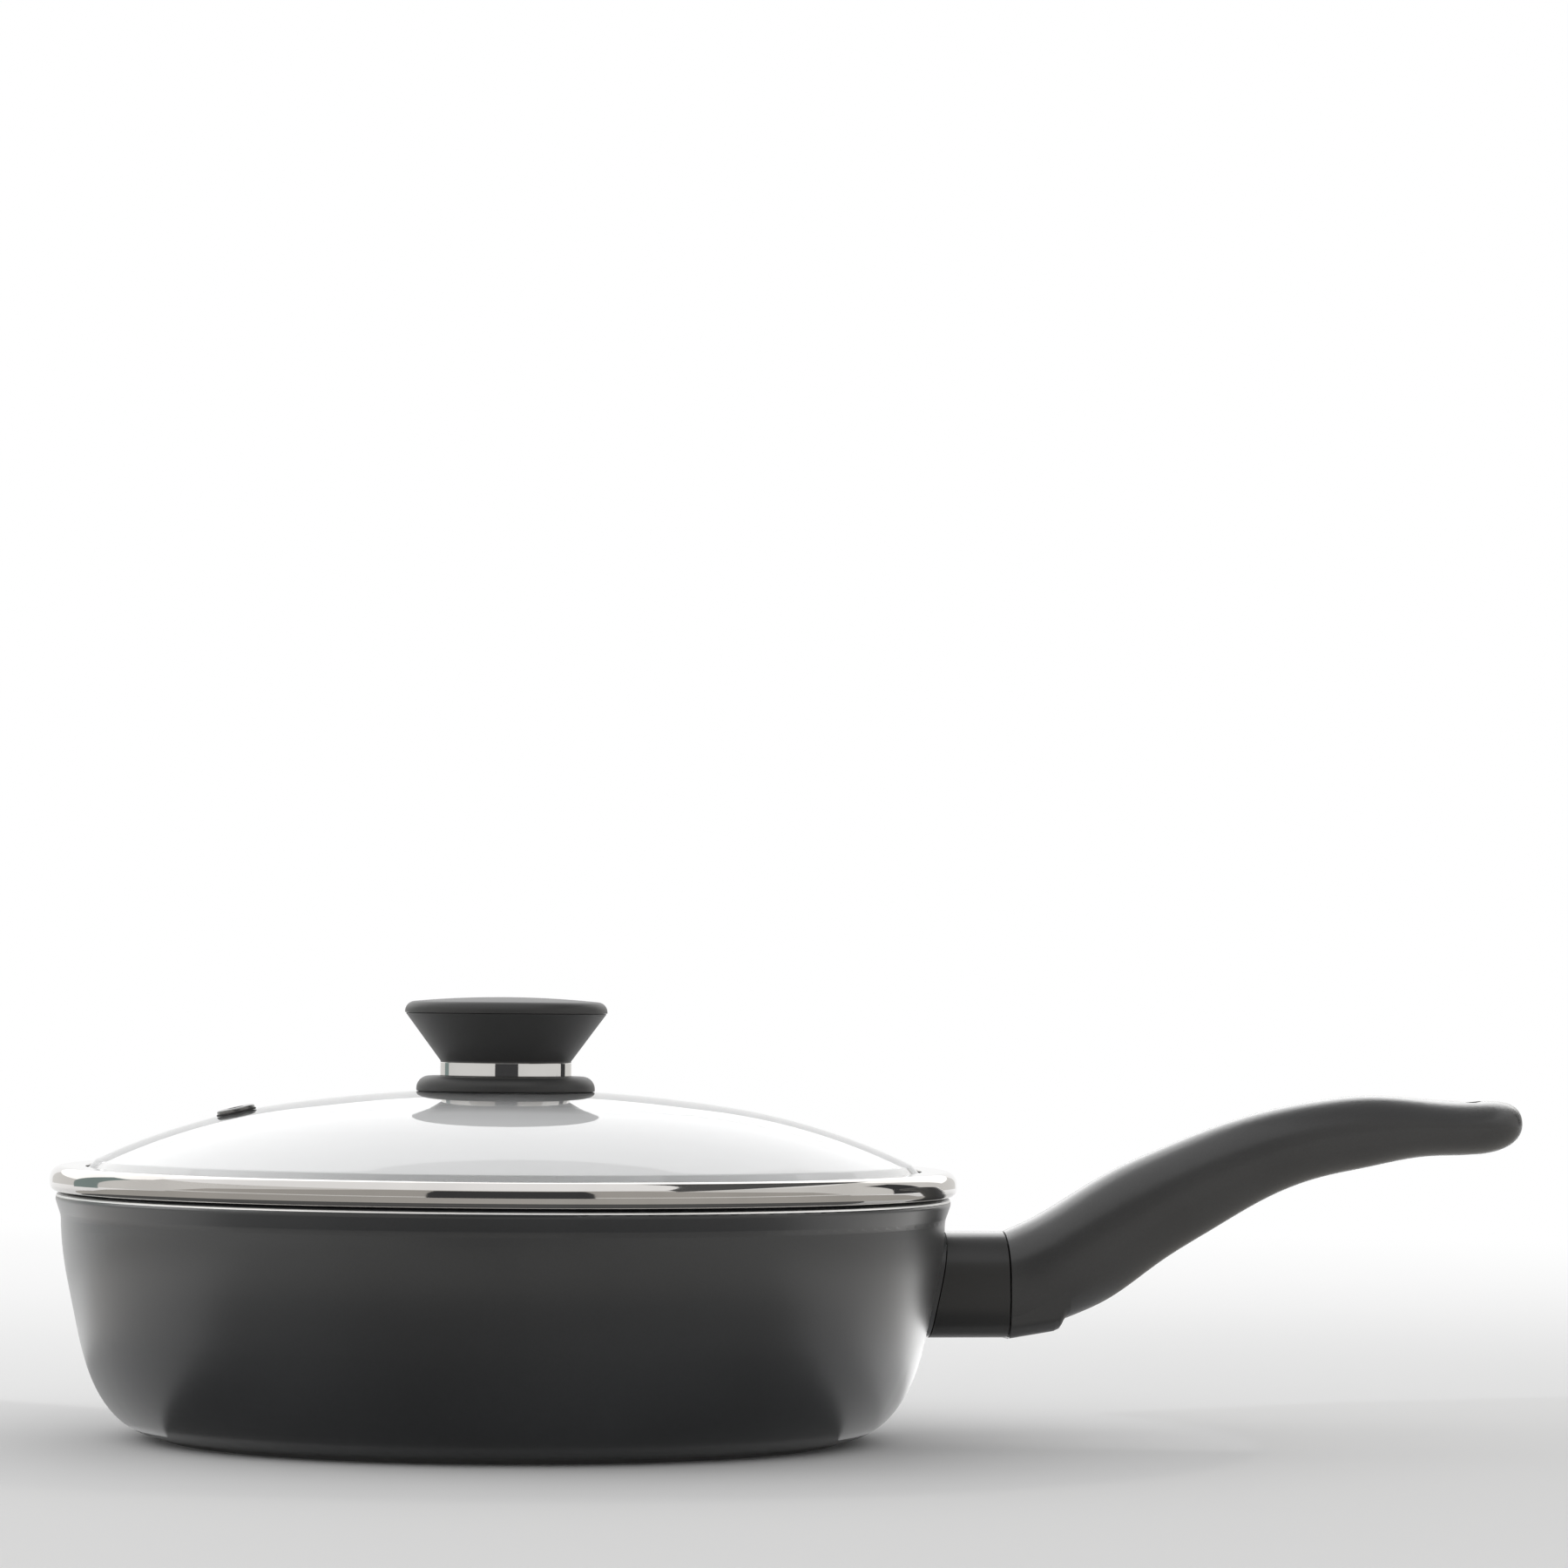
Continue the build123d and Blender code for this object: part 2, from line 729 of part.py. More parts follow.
seal_radius = lid_radius - strip_thickness - seating_gap
glass_edge_radius = seal_radius - seal_cheek - moving_gap
with BuildPart() as lid_glass:
    dome_edge = (dome_reach, domeHeight(dome_reach, 0))
    flange_low = glass_flange_height - glass_thickness
    inner_reach = dome_reach - glass_thickness * sin(shoulderAngle(dome_reach))
    inner_edge = (inner_reach, domeHeight(inner_reach, glass_thickness))
    inner_bend = (glass_bend_radius - glass_thickness * glass_bend_share, flange_low)
    outer_bend = (glass_bend_radius, glass_flange_height)
    with BuildSketch(Plane.XZ) as half:
        with BuildLine():
            domeArcs(knob_hole_radius, dome_reach, 0)
            Polyline(
                dome_edge,
                outer_bend,
                (glass_edge_radius, glass_flange_height),
                (glass_edge_radius, flange_low),
                inner_bend,
                inner_edge,
            )
            domeArcs(knob_hole_radius, inner_reach, glass_thickness)
            Line(
                (knob_hole_radius, domeHeight(knob_hole_radius, 0)),
                (knob_hole_radius, domeHeight(knob_hole_radius, glass_thickness)),
            )
        make_face()
        for bend in (dome_edge, outer_bend, inner_bend, inner_edge):
            roundCorner(half, bend, glass_bend_round)
        for corner in ((glass_edge_radius, glass_flange_height), (glass_edge_radius, flange_low)):
            roundCorner(half, corner, glass_edge_round)
    revolve(axis=Axis.Z)
    with Locations(vent_plane):
        Cylinder(vent_tube_radius + seating_gap, drill_length, mode=Mode.SUBTRACT)
save(lid_glass, "lid_glass")

# Rolled steel band: lip over the glass, wall, seat on the pan's rim and skirt inside it
lip_middle = glass_flange_height + seating_gap + strip_thickness / 2
wall_middle = lid_radius - strip_thickness / 2
seat_middle = pan_height + seating_gap + strip_thickness / 2
skirt_middle = mouth_radius - skirt_gap - strip_thickness / 2
with BuildPart() as lid_rim:
    with BuildSketch(Plane.XZ):
        with BuildLine():
            FilletPolyline(
                (lid_radius - lip_width, lip_middle),
                (wall_middle, lip_middle),
                (wall_middle, seat_middle),
                (skirt_middle, seat_middle),
                (skirt_middle, seat_middle - skirt_drop),
                radius=[lip_round, seat_round, skirt_round],
            )
        trace(line_width=strip_thickness)
    revolve(axis=Axis.Z)
save(lid_rim, "lid_rim")

# Heat-proof ring between the band and the glass edge
seal_low = seat_middle + strip_thickness / 2 + seating_gap
seal_high = flange_low - seating_gap
with BuildPart() as rim_seal:
    with BuildSketch(Plane.XZ) as half:
        with BuildLine():
            Polyline(
                (seal_radius - seal_width, seal_low),
                (seal_radius, seal_low),
                (seal_radius, seal_high + seal_cheek_height),
                (seal_radius - seal_cheek, seal_high + seal_cheek_height),
                (seal_radius - seal_cheek, seal_high),
                (seal_radius - seal_width, seal_high),
                close=True,
            )
        make_face()
        roundCorner(half, (seal_radius, seal_low), seat_round)
        roundCorner(half, (seal_radius, seal_high + seal_cheek_height), seal_cheek - seating_gap)
    revolve(axis=Axis.Z)
save(rim_seal, "rim_seal")

vent_head_low = vent_gasket_height + seating_gap
vent_curl_top = -(glass_thickness + seating_gap)
with BuildPart(vent_plane) as vent_eyelet:
    with Locations((0, 0, vent_head_low)):
        Cylinder(vent_head_radius, vent_head_height, align=(Align.CENTER, Align.CENTER, Align.MIN))
    head_edges = vent_eyelet.edges().filter_by(GeomType.CIRCLE).sort_by_distance(
        vent_plane.origin + vent_plane.z_dir * glass_thickness
    )
    fillet(head_edges[0], vent_head_round)
    with Locations((0, 0, vent_head_low)):
        Cylinder(
            vent_tube_radius,
            vent_head_low - vent_curl_top,
            align=(Align.CENTER, Align.CENTER, Align.MAX),
        )
    with Locations((0, 0, vent_curl_top)):
        Cylinder(vent_curl_radius, vent_curl_height, align=(Align.CENTER, Align.CENTER, Align.MAX))
    with Locations((0, 0, 0)):
        Cylinder(vent_bore_radius, drill_length, mode=Mode.SUBTRACT)
save(vent_eyelet, "vent_eyelet")

with BuildPart(vent_plane) as vent_gasket:
    with Locations((0, 0, seating_gap)):
        Cylinder(
            vent_gasket_radius,
            vent_gasket_height - seating_gap,
            align=(Align.CENTER, Align.CENTER, Align.MIN),
        )
    Cylinder(vent_tube_radius + seating_gap, drill_length, mode=Mode.SUBTRACT)
save(vent_gasket, "vent_gasket")

# Knob, stacked up from the dome
flange_top = lid_apex + flange_rise
knob_hub_low = lid_apex + flange_hub_gap
gasket_outer = flange_radius - flange_lip_width
gasket_inner = gasket_outer - knob_gasket_width
gasket_top = lid_apex + knob_gasket_height - seating_gap
with BuildPart() as knob_flange:
    with BuildSketch(Plane.XZ) as half:
        with BuildLine():
            Polyline(
                (knob_hole_radius, knob_hub_low),
                (gasket_inner - seating_gap, knob_hub_low),
                (gasket_inner - seating_gap, gasket_top),
                (gasket_outer + seating_gap, gasket_top),
                (gasket_outer + seating_gap, domeHeight(gasket_outer, 0) + seating_gap),
                (flange_radius, domeHeight(flange_radius, 0) + seating_gap),
                (flange_radius, flange_top),
                (knob_hole_radius, flange_top),
                close=True,
            )
        make_face()
        roundCorner(half, (flange_radius, flange_top), flange_edge_round)
        roundCorner(half, (flange_radius, domeHeight(flange_radius, 0) + seating_gap), flange_foot_round)
    revolve(axis=Axis.Z)
save(knob_flange, "knob_flange")

with BuildPart() as knob_gasket:
    with BuildSketch(Plane.XZ):
        with BuildLine():
            Polyline(
                (gasket_inner, domeHeight(gasket_inner, 0) + running_gap),
                (gasket_outer, domeHeight(gasket_outer, 0) + running_gap),
                (gasket_outer, gasket_top),
                (gasket_inner, gasket_top),
                close=True,
            )
        make_face()
    revolve(axis=Axis.Z)
save(knob_gasket, "knob_gasket")

ring_top = flange_top + ring_height
with BuildPart() as knob_ring:
    with BuildSketch(Plane.XY.offset(flange_top)):
        Circle(ring_radius)
        Circle(ring_radius - ring_wall, mode=Mode.SUBTRACT)
    extrude(amount=ring_height)
save(knob_ring, "knob_ring")

insert_low = flange_top + insert_inset
insert_high = insert_low + insert_length
spigot_outer = ring_radius - ring_wall - seating_gap
cone_foot_radius = ring_radius - cone_foot_inset
cone_top = ring_top + cone_height
knob_pocket_radius = cone_top_radius - knob_pocket_rim
pocket_slope = (knob_pocket_radius - knob_pocket_floor_radius) / knob_pocket_depth
with BuildPart() as knob_grip:
    with BuildSketch(Plane.XZ):
        with BuildLine():
            Polyline(
                (insert_radius, flange_top),
                (spigot_outer, flange_top),
                (spigot_outer, ring_top),
                (cone_foot_radius, ring_top),
                (cone_foot_radius, ring_top + cone_lip_height),
                (cone_top_radius, cone_top),
                (knob_pocket_radius, cone_top),
                (knob_pocket_floor_radius, cone_top - knob_pocket_depth),
                (0, cone_top - knob_pocket_depth),
                (0, insert_high),
                (insert_radius, insert_high),
                close=True,
            )
        make_face()
    revolve(axis=Axis.Z)
save(knob_grip, "knob_grip")

# Crown, with a plug in the cone's pocket and a fine groove at the parting line
cap_low = cone_top
cap_radius = cone_top_radius + cap_overhang
cap_plug_radius = knob_pocket_radius - cap_plug_depth * pocket_slope - seating_gap
cap_side = (cap_radius, cap_low + cap_shoulder_height)
crown_drop = cap_crown - cap_shoulder_height
crown_sphere = (cap_radius**2 + crown_drop**2) / (2 * crown_drop)
crown_middle_drop = crown_sphere - sqrt(crown_sphere**2 - (cap_radius / 2) ** 2)
with BuildPart() as knob_cap:
    with BuildSketch(Plane.XZ) as half:
        with BuildLine():
            Polyline(
                (0, cap_low + cap_crown),
                (0, cap_low - cap_plug_depth),
                (cap_plug_radius, cap_low - cap_plug_depth),
                (cap_plug_radius, cap_low),
                (cap_radius - parting_width, cap_low),
                (cap_radius - parting_width, cap_low + parting_gap),
                (cap_radius, cap_low + parting_gap),
                cap_side,
            )
            ThreePointArc(
                cap_side,
                (cap_radius / 2, cap_low + cap_crown - crown_middle_drop),
                (0, cap_low + cap_crown),
            )
        make_face()
        roundCorner(half, cap_side, cap_edge_round)
    revolve(axis=Axis.Z)
save(knob_cap, "knob_cap")

with BuildPart() as knob_insert:
    with BuildSketch(Plane.XY.offset(insert_low)):
        Circle(insert_radius - running_gap)
        Circle(knob_screw_radius + running_gap, mode=Mode.SUBTRACT)
    extrude(amount=insert_length - seating_gap)
save(knob_insert, "knob_insert")

# Fastening under the glass: soft seal, steel washer and screw
seal_top = domeHeight(knob_seal_radius, glass_thickness) - running_gap
washer_top = seal_top - knob_seal_thickness
screw_seat = washer_top - washer_thickness
knob_screw_length = insert_high - knob_screw_tip_gap - screw_seat
with BuildPart() as knob_seal:
    with BuildSketch(Plane.XY.offset(washer_top)):
        Circle(knob_seal_radius)
        Circle(knob_screw_radius + seating_gap, mode=Mode.SUBTRACT)
    extrude(amount=knob_seal_thickness)
save(knob_seal, "knob_seal")

with BuildPart() as knob_washer:
    with BuildSketch(Plane.XY.offset(screw_seat)):
        Circle(washer_radius)
        Circle(knob_screw_radius + seating_gap, mode=Mode.SUBTRACT)
    extrude(amount=washer_thickness)
save(knob_washer, "knob_washer")

with BuildPart() as knob_screw:
    with BuildSketch(Plane.XY.offset(screw_seat)):
        Circle(knob_screw_head_radius)
    extrude(amount=-knob_screw_head_height)
    head_low = screw_seat - knob_screw_head_height
    fillet(knob_screw.faces().sort_by(Axis.Z)[0].edges(), knob_screw_head_round)
    with BuildSketch(Plane.XY.offset(screw_seat)):
        Circle(knob_screw_radius)
    extrude(amount=knob_screw_length)
    with BuildSketch(Plane.XY.offset(head_low)):
        RegularPolygon(knob_screw_socket_radius, hexagon_sides)
    extrude(amount=knob_screw_socket_depth, mode=Mode.SUBTRACT)
save(knob_screw, "knob_screw")
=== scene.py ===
import json
from math import asin, cos, pi, radians, sin, sqrt

import bmesh
import bpy
from mathutils import Matrix, Vector


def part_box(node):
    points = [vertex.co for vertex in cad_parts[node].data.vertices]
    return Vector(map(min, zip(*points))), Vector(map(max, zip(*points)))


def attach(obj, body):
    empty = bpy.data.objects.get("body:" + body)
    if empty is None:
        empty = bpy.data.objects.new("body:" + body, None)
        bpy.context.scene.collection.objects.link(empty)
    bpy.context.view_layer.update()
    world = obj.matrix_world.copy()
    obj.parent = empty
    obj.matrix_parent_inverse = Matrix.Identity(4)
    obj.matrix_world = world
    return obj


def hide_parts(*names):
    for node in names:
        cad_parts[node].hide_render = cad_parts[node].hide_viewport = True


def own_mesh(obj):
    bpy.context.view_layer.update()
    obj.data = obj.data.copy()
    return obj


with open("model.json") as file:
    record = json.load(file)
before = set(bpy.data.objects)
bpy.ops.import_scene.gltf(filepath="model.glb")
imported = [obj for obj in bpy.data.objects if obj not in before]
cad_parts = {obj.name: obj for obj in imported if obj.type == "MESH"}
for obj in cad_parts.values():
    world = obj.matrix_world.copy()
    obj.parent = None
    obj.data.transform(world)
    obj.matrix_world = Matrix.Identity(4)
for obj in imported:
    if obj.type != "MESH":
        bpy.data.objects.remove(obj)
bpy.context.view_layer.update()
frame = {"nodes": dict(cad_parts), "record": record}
scene = bpy.context.scene
scene.view_settings.view_transform = "Standard"
mm = 0.001
print("frame loaded:", len(frame["nodes"]), "nodes")


# A shader socket that adds Math nodes when Python's operators are used on it
class Wire:
    def __init__(self, tree, socket):
        self.tree = tree
        self.socket = socket

    def calc(self, operation, *values):
        node = self.tree.nodes.new("ShaderNodeMath")
        node.operation = operation
        for place, value in enumerate(values):
            if isinstance(value, Wire):
                self.tree.links.new(value.socket, node.inputs[place])
            else:
                node.inputs[place].default_value = value
        return Wire(self.tree, node.outputs[0])

    def __add__(self, other):
        return self.calc("ADD", self, other)

    def __radd__(self, other):
        return self.calc("ADD", other, self)

    def __sub__(self, other):
        return self.calc("SUBTRACT", self, other)

    def __rsub__(self, other):
        return self.calc("SUBTRACT", other, self)

    def __mul__(self, other):
        return self.calc("MULTIPLY", self, other)

    def __rmul__(self, other):
        return self.calc("MULTIPLY", other, self)

    def __truediv__(self, other):
        return self.calc("DIVIDE", self, other)

    def __rtruediv__(self, other):
        return self.calc("DIVIDE", other, self)

    def __pow__(self, other):
        return self.calc("POWER", self, other)

    # 0 below start, 1 above end, smooth between
    def ramp(self, start, end):
        node = self.tree.nodes.new("ShaderNodeMapRange")
        node.interpolation_type = "SMOOTHSTEP"
        self.tree.links.new(self.socket, node.inputs["Value"])
        node.inputs["From Min"].default_value = start
        node.inputs["From Max"].default_value = end
        return Wire(self.tree, node.outputs[0])


# A material, or the world, with one method that adds any node
class Finish:
    def __init__(self, name, owner=None):
        self.owner = owner or bpy.data.materials.new(name)
        self.owner.use_nodes = True
        self.tree = self.owner.node_tree
        self.tree.nodes.clear()

    def add(self, kind, settings=None, inputs=None, output=0):
        node = self.tree.nodes.new(kind)
        for name, value in (settings or {}).items():
            setattr(node, name, value)
        for name, value in (inputs or {}).items():
            if isinstance(value, Wire):
                self.tree.links.new(value.socket, node.inputs[name])
            else:
                node.inputs[name].default_value = value
        return Wire(self.tree, node.outputs[output])

    def place(self):
        return self.add("ShaderNodeTexCoord", output="Object")

    def noise(self, vector, scale, detail=2.0, roughness=0.5):
        values = {"Vector": vector, "Scale": scale, "Detail": detail, "Roughness": roughness}
        return self.add("ShaderNodeTexNoise", inputs=values)

    # Colour between two colours by a factor
    def between(self, factor, low, high):
        values = {0: factor, 6: (*low, 1.0), 7: (*high, 1.0)}
        return self.add("ShaderNodeMix", {"data_type": "RGBA"}, values, output=2)

    def bump(self, height, distance, strength=1.0):
        values = {"Height": height, "Distance": distance, "Strength": strength}
        return self.add("ShaderNodeBump", inputs=values)

    # Direction round the Z axis, radius and height, so that noise runs in rings with no seam
    def rings(self, around, across, up):
        x, y, z = self.parts(self.place())
        radius = (x * x + y * y) ** 0.5
        values = {"X": x / radius * around + radius * across, "Y": y / radius * around, "Z": z * up}
        return self.add("ShaderNodeCombineXYZ", inputs=values)

    def parts(self, vector):
        node = self.tree.nodes.new("ShaderNodeSeparateXYZ")
        self.tree.links.new(vector.socket, node.inputs[0])
        return [Wire(self.tree, socket) for socket in node.outputs]

    def shader(self, **values):
        named = {name.replace("_", " "): value for name, value in values.items()}
        return self.add("ShaderNodeBsdfPrincipled", inputs=named)

    def finish(self, shader, kind="ShaderNodeOutputMaterial"):
        node = self.tree.nodes.new(kind)
        self.tree.links.new(shader.socket, node.inputs["Surface"])
        return self.owner


# Satin coat on cast aluminium: fine powder grain over a slow change of tone
panCoatLook = {
    "dark": (0.018, 0.0193, 0.0212),
    "light": (0.030, 0.0322, 0.0350),
    "grainScale": 1900.0,
    "cloudScale": 14.0,
    "roughness": 0.36,
    "roughnessSpread": 0.06,
    "grainHeight": 0.012 * mm,
    "skin": 0.9,
    "skinRoughness": 0.30,
}


def makePanCoat(name, look):
    coat = Finish(name)
    place = coat.place()
    grain = coat.noise(place, look["grainScale"], 3.0, 0.6)
    cloud = coat.noise(place, look["cloudScale"], 2.0)
    tone = (cloud * 0.6 + grain * 0.4).ramp(0.25, 0.75)
    rough = look["roughness"] + (cloud * 0.5 + grain * 0.5 - 0.5) * look["roughnessSpread"]
    return coat.finish(
        coat.shader(
            Base_Color=coat.between(tone, look["dark"], look["light"]),
            Roughness=rough,
            Coat_Weight=look["skin"],
            Coat_Roughness=look["skinRoughness"],
            Normal=coat.bump(grain, look["grainHeight"]),
        )
    )


# Moulded plastics: a fine spark-eroded grain under a thin smooth skin
plasticLooks = {
    "collarPlastic": {
        "dark": (0.014, 0.014, 0.014),
        "light": (0.020, 0.020, 0.020),
        "roughness": 0.45,
        "grainScale": 2600.0,
        "grainHeight": 0.004 * mm,
        "skin": 0.6,
        "skinRoughness": 0.22,
    },
    "softGripPlastic": {
        "dark": (0.027, 0.027, 0.0275),
        "light": (0.038, 0.038, 0.0385),
        "roughness": 0.55,
        "grainScale": 2200.0,
        "grainHeight": 0.010 * mm,
        "skin": 0.8,
        "skinRoughness": 0.26,
    },
    "keyPlastic": {
        "dark": (0.026, 0.026, 0.026),
        "light": (0.036, 0.036, 0.036),
        "roughness": 0.5,
        "grainScale": 2200.0,
        "grainHeight": 0.010 * mm,
        "skin": 0.7,
        "skinRoughness": 0.32,
    },
    "knobPlastic": {
        "dark": (0.022, 0.022, 0.022),
        "light": (0.032, 0.032, 0.032),
        "roughness": 0.55,
        "grainScale": 2600.0,
        "grainHeight": 0.006 * mm,
        "skin": 0.35,
        "skinRoughness": 0.36,
    },
}
plasticPatch = {"scale": 30.0, "spread": 0.06, "grainSpread": 0.05}


def makePlastic(name):
    look = plasticLooks[name]
    plastic = Finish(name)
    place = plastic.place()
    grain = plastic.noise(place, look["grainScale"], 4.0, 0.65)
    patch = plastic.noise(place, plasticPatch["scale"], 2.0)
    tone = (patch * 0.5 + grain * 0.5).ramp(0.3, 0.7)
    uneven = (patch - 0.5) * plasticPatch["spread"] + (grain - 0.5) * plasticPatch["grainSpread"]
    return plastic.finish(
        plastic.shader(
            Base_Color=plastic.between(tone, look["dark"], look["light"]),
            Roughness=look["roughness"] + uneven,
            Coat_Weight=look["skin"],
            Coat_Roughness=look["skinRoughness"],
            Coat_IOR=1.5,
            Normal=plastic.bump(grain, look["grainHeight"]),
        )
    )


# Polished steels: faint circular lines and a slight smudge
polishedLooks = {
    "rimSteel": {"colour": (0.72, 0.70, 0.68), "roughness": 0.05, "lineHeight": 0.0002 * mm},
    "ringSteel": {"colour": (0.80, 0.79, 0.775), "roughness": 0.05, "lineHeight": 0.0002 * mm},
}


def makePolishedSteel(name):
    look = polishedLooks[name]
    steel = Finish(name)
    lines = steel.noise(steel.rings(1.5, 2500.0, 3500.0), 1.0, 4.0, 0.6)
    smudge = steel.noise(steel.place(), 45.0, 3.0)
    darker = tuple(part * 0.95 for part in look["colour"])
    return steel.finish(
        steel.shader(
            Base_Color=steel.between(smudge.ramp(0.35, 0.65), darker, look["colour"]),
            Metallic=1.0,
            Roughness=look["roughness"] + (smudge - 0.5) * 0.03 + (lines - 0.5) * 0.02,
            Normal=steel.bump(lines, look["lineHeight"]),
        )
    )


# Turned, drawn or ground metals: circular lines over a slow change of tone
brushedLooks = {
    "turnedBaseSteel": {"colour": (0.42, 0.42, 0.42), "roughness": 0.32, "lineHeight": 0.02 * mm},
    "fittingSteel": {"colour": (0.52, 0.52, 0.51), "roughness": 0.28, "lineHeight": 0.01 * mm},
    "ventSteel": {"colour": (0.30, 0.30, 0.30), "roughness": 0.25, "lineHeight": 0.008 * mm},
    # bright bare metal of the painted highlight on the pan's rim edge
    "bareEdgeHighlight": {"colour": (0.90, 0.90, 0.89), "roughness": 0.42, "lineHeight": 0.002 * mm},
    "insertBrass": {"colour": (0.72, 0.52, 0.24), "roughness": 0.3, "lineHeight": 0.01 * mm},
}


def makeBrushedMetal(name):
    look = brushedLooks[name]
    metal = Finish(name)
    lines = metal.noise(metal.rings(2.0, 1800.0, 1800.0), 1.0, 5.0, 0.7)
    cloud = metal.noise(metal.place(), 60.0, 3.0)
    tone = (lines * 0.6 + cloud * 0.4).ramp(0.3, 0.7)
    darker = tuple(part * 0.82 for part in look["colour"])
    return metal.finish(
        metal.shader(
            Base_Color=metal.between(tone, darker, look["colour"]),
            Metallic=1.0,
            Roughness=look["roughness"] + (lines - 0.5) * 0.18,
            Normal=metal.bump(lines, look["lineHeight"]),
        )
    )


# Tempered glass: clear from above. Where it is seen at a low angle an opaque pale layer is mixed in, a
# painted white sheen that stands in for the reflection of the white surroundings; clearer again at the lowest
# angles, where it mirrors the knob
glassLook = {
    "tint": (0.975, 0.99, 0.985),
    "tintLight": (0.99, 1.0, 0.995),
    # colour of the painted white sheen
    "paintedSheen": (0.82, 0.825, 0.83),
    "paintedSheenLift": 1.02,
    "smudgeScale": 18.0,
    "refraction": 1.5,
    "paintedSheenStart": 0.10,
    "paintedSheenEnd": 0.50,
    "paintedSheenMost": 0.92,
    "paintedSheenLeast": 0.05,
    "clearStart": 0.80,
    "clearEnd": 0.905,
}


def makeGlass(name, look):
    glass = Finish(name)
    smudge = glass.noise(glass.place(), look["smudgeScale"], 4.0, 0.6)
    mottle = smudge.ramp(0.3, 0.7)
    clear = glass.shader(
        Base_Color=glass.between(mottle, look["tint"], look["tintLight"]),
        Roughness=smudge.ramp(0.5, 0.9) * 0.012,
        Transmission_Weight=1.0,
        IOR=look["refraction"],
    )
    # Painted sheen: an opaque pale layer that paints the glass's reflection of the white surroundings
    lighter = tuple(part * look["paintedSheenLift"] for part in look["paintedSheen"])
    paintedSheenShader = glass.shader(
        Base_Color=glass.between(mottle, look["paintedSheen"], lighter),
        Roughness=0.01 + smudge * 0.01,
        IOR=look["refraction"],
    )
    # More of the painted sheen at low angles, less again at the lowest
    facing = glass.add("ShaderNodeLayerWeight", inputs={"Blend": 0.5}, output=1)
    whitening = facing.ramp(look["paintedSheenStart"], look["paintedSheenEnd"])
    clearing = 1 - facing.ramp(look["clearStart"], look["clearEnd"])
    paintedSheen = look["paintedSheenLeast"] + whitening * clearing * (look["paintedSheenMost"] - look["paintedSheenLeast"])
    return glass.finish(glass.add("ShaderNodeMixShader", inputs={0: paintedSheen, 1: clear, 2: paintedSheenShader}))


# Dark rubber and pale silicone of the seals
rubberLooks = {
    "sealRubber": {"dark": (0.02, 0.02, 0.02), "light": (0.035, 0.035, 0.035), "roughness": 0.6},
    "sealSilicone": {"dark": (0.62, 0.62, 0.60), "light": (0.70, 0.70, 0.68), "roughness": 0.45},
}


def makeRubber(name):
    look = rubberLooks[name]
    rubber = Finish(name)
    grain = rubber.noise(rubber.place(), 900.0, 3.0)
    return rubber.finish(
        rubber.shader(
            Base_Color=rubber.between(grain.ramp(0.3, 0.7), look["dark"], look["light"]),
            Roughness=look["roughness"] + (grain - 0.5) * 0.2,
            Normal=rubber.bump(grain, 0.02 * mm),
        )
    )


# One finish for each material slot of the record, and bare metal for the painted highlight on the pan's rim
# edge
finishes = {
    "pan_coat": makePanCoat("panCoat", panCoatLook),
    "base_steel": makeBrushedMetal("turnedBaseSteel"),
    "collar_plastic": makePlastic("collarPlastic"),
    "grip_plastic": makePlastic("softGripPlastic"),
    "key_plastic": makePlastic("keyPlastic"),
    "knob_plastic": makePlastic("knobPlastic"),
    "fitting_steel": makeBrushedMetal("fittingSteel"),
    "vent_steel": makeBrushedMetal("ventSteel"),
    "rim_steel": makePolishedSteel("rimSteel"),
    "ring_steel": makePolishedSteel("ringSteel"),
    "lid_glass": makeGlass("lidGlass", glassLook),
    "bare_edge_highlight": makeBrushedMetal("bareEdgeHighlight"),
    "seal_rubber": makeRubber("sealRubber"),
    "seal_silicone": makeRubber("sealSilicone"),
    "insert_brass": makeBrushedMetal("insertBrass"),
}
print("finishes made:", len(finishes))

slots = {row["node"]: row["material_slot"] for row in frame["record"]["subparts"]}
for nodeName, piece in frame["nodes"].items():
    piece.data.materials.clear()
    piece.data.materials.append(finishes[slots[nodeName]])
print("CAD nodes dressed")


# Points on a path of straight runs ("run", length) and bends ("bend", radius, degrees), each
# as radius, height and heading in degrees
def walk(start, heading, moves, stepDegrees=6.0):
    r, z = start
    points = [(r, z, heading)]
    for move in moves:
        if move[0] == "run":
            r += move[1] * cos(radians(heading))
            z += move[1] * sin(radians(heading))
            points.append((r, z, heading))
        else:
            side = 1 if move[2] > 0 else -1
            centreR = r - side * move[1] * sin(radians(heading))
            centreZ = z + side * move[1] * cos(radians(heading))
            count = max(2, round(abs(move[2]) / stepDegrees))
            for step in range(1, count + 1):
                turned = heading + move[2] * step / count
                r = centreR + side * move[1] * sin(radians(turned))
                z = centreZ - side * move[1] * cos(radians(turned))
                points.append((r, z, turned))
            heading += move[2]
    return points


# Closed outline of a strip whose left face is the path, with round ends
def stripOutline(path, thickness, endSteps=6):
    outer = [(r, z) for r, z, _ in path]
    inner = [(r + thickness * sin(radians(h)), z - thickness * cos(radians(h))) for r, z, h in path]
    ends = []
    for r, z, heading, side in ((*path[-1], 1), (*path[0], -1)):
        middleR = r + thickness / 2 * sin(radians(heading))
        middleZ = z - thickness / 2 * cos(radians(heading))
        first = heading + 90 if side > 0 else heading - 90
        cap = []
        for step in range(1, endSteps):
            angle = radians(first - 180 * step / endSteps)
            cap.append((middleR + thickness / 2 * cos(angle), middleZ + thickness / 2 * sin(angle)))
        ends.append(cap)
    return outer + ends[0] + inner[::-1] + ends[1]


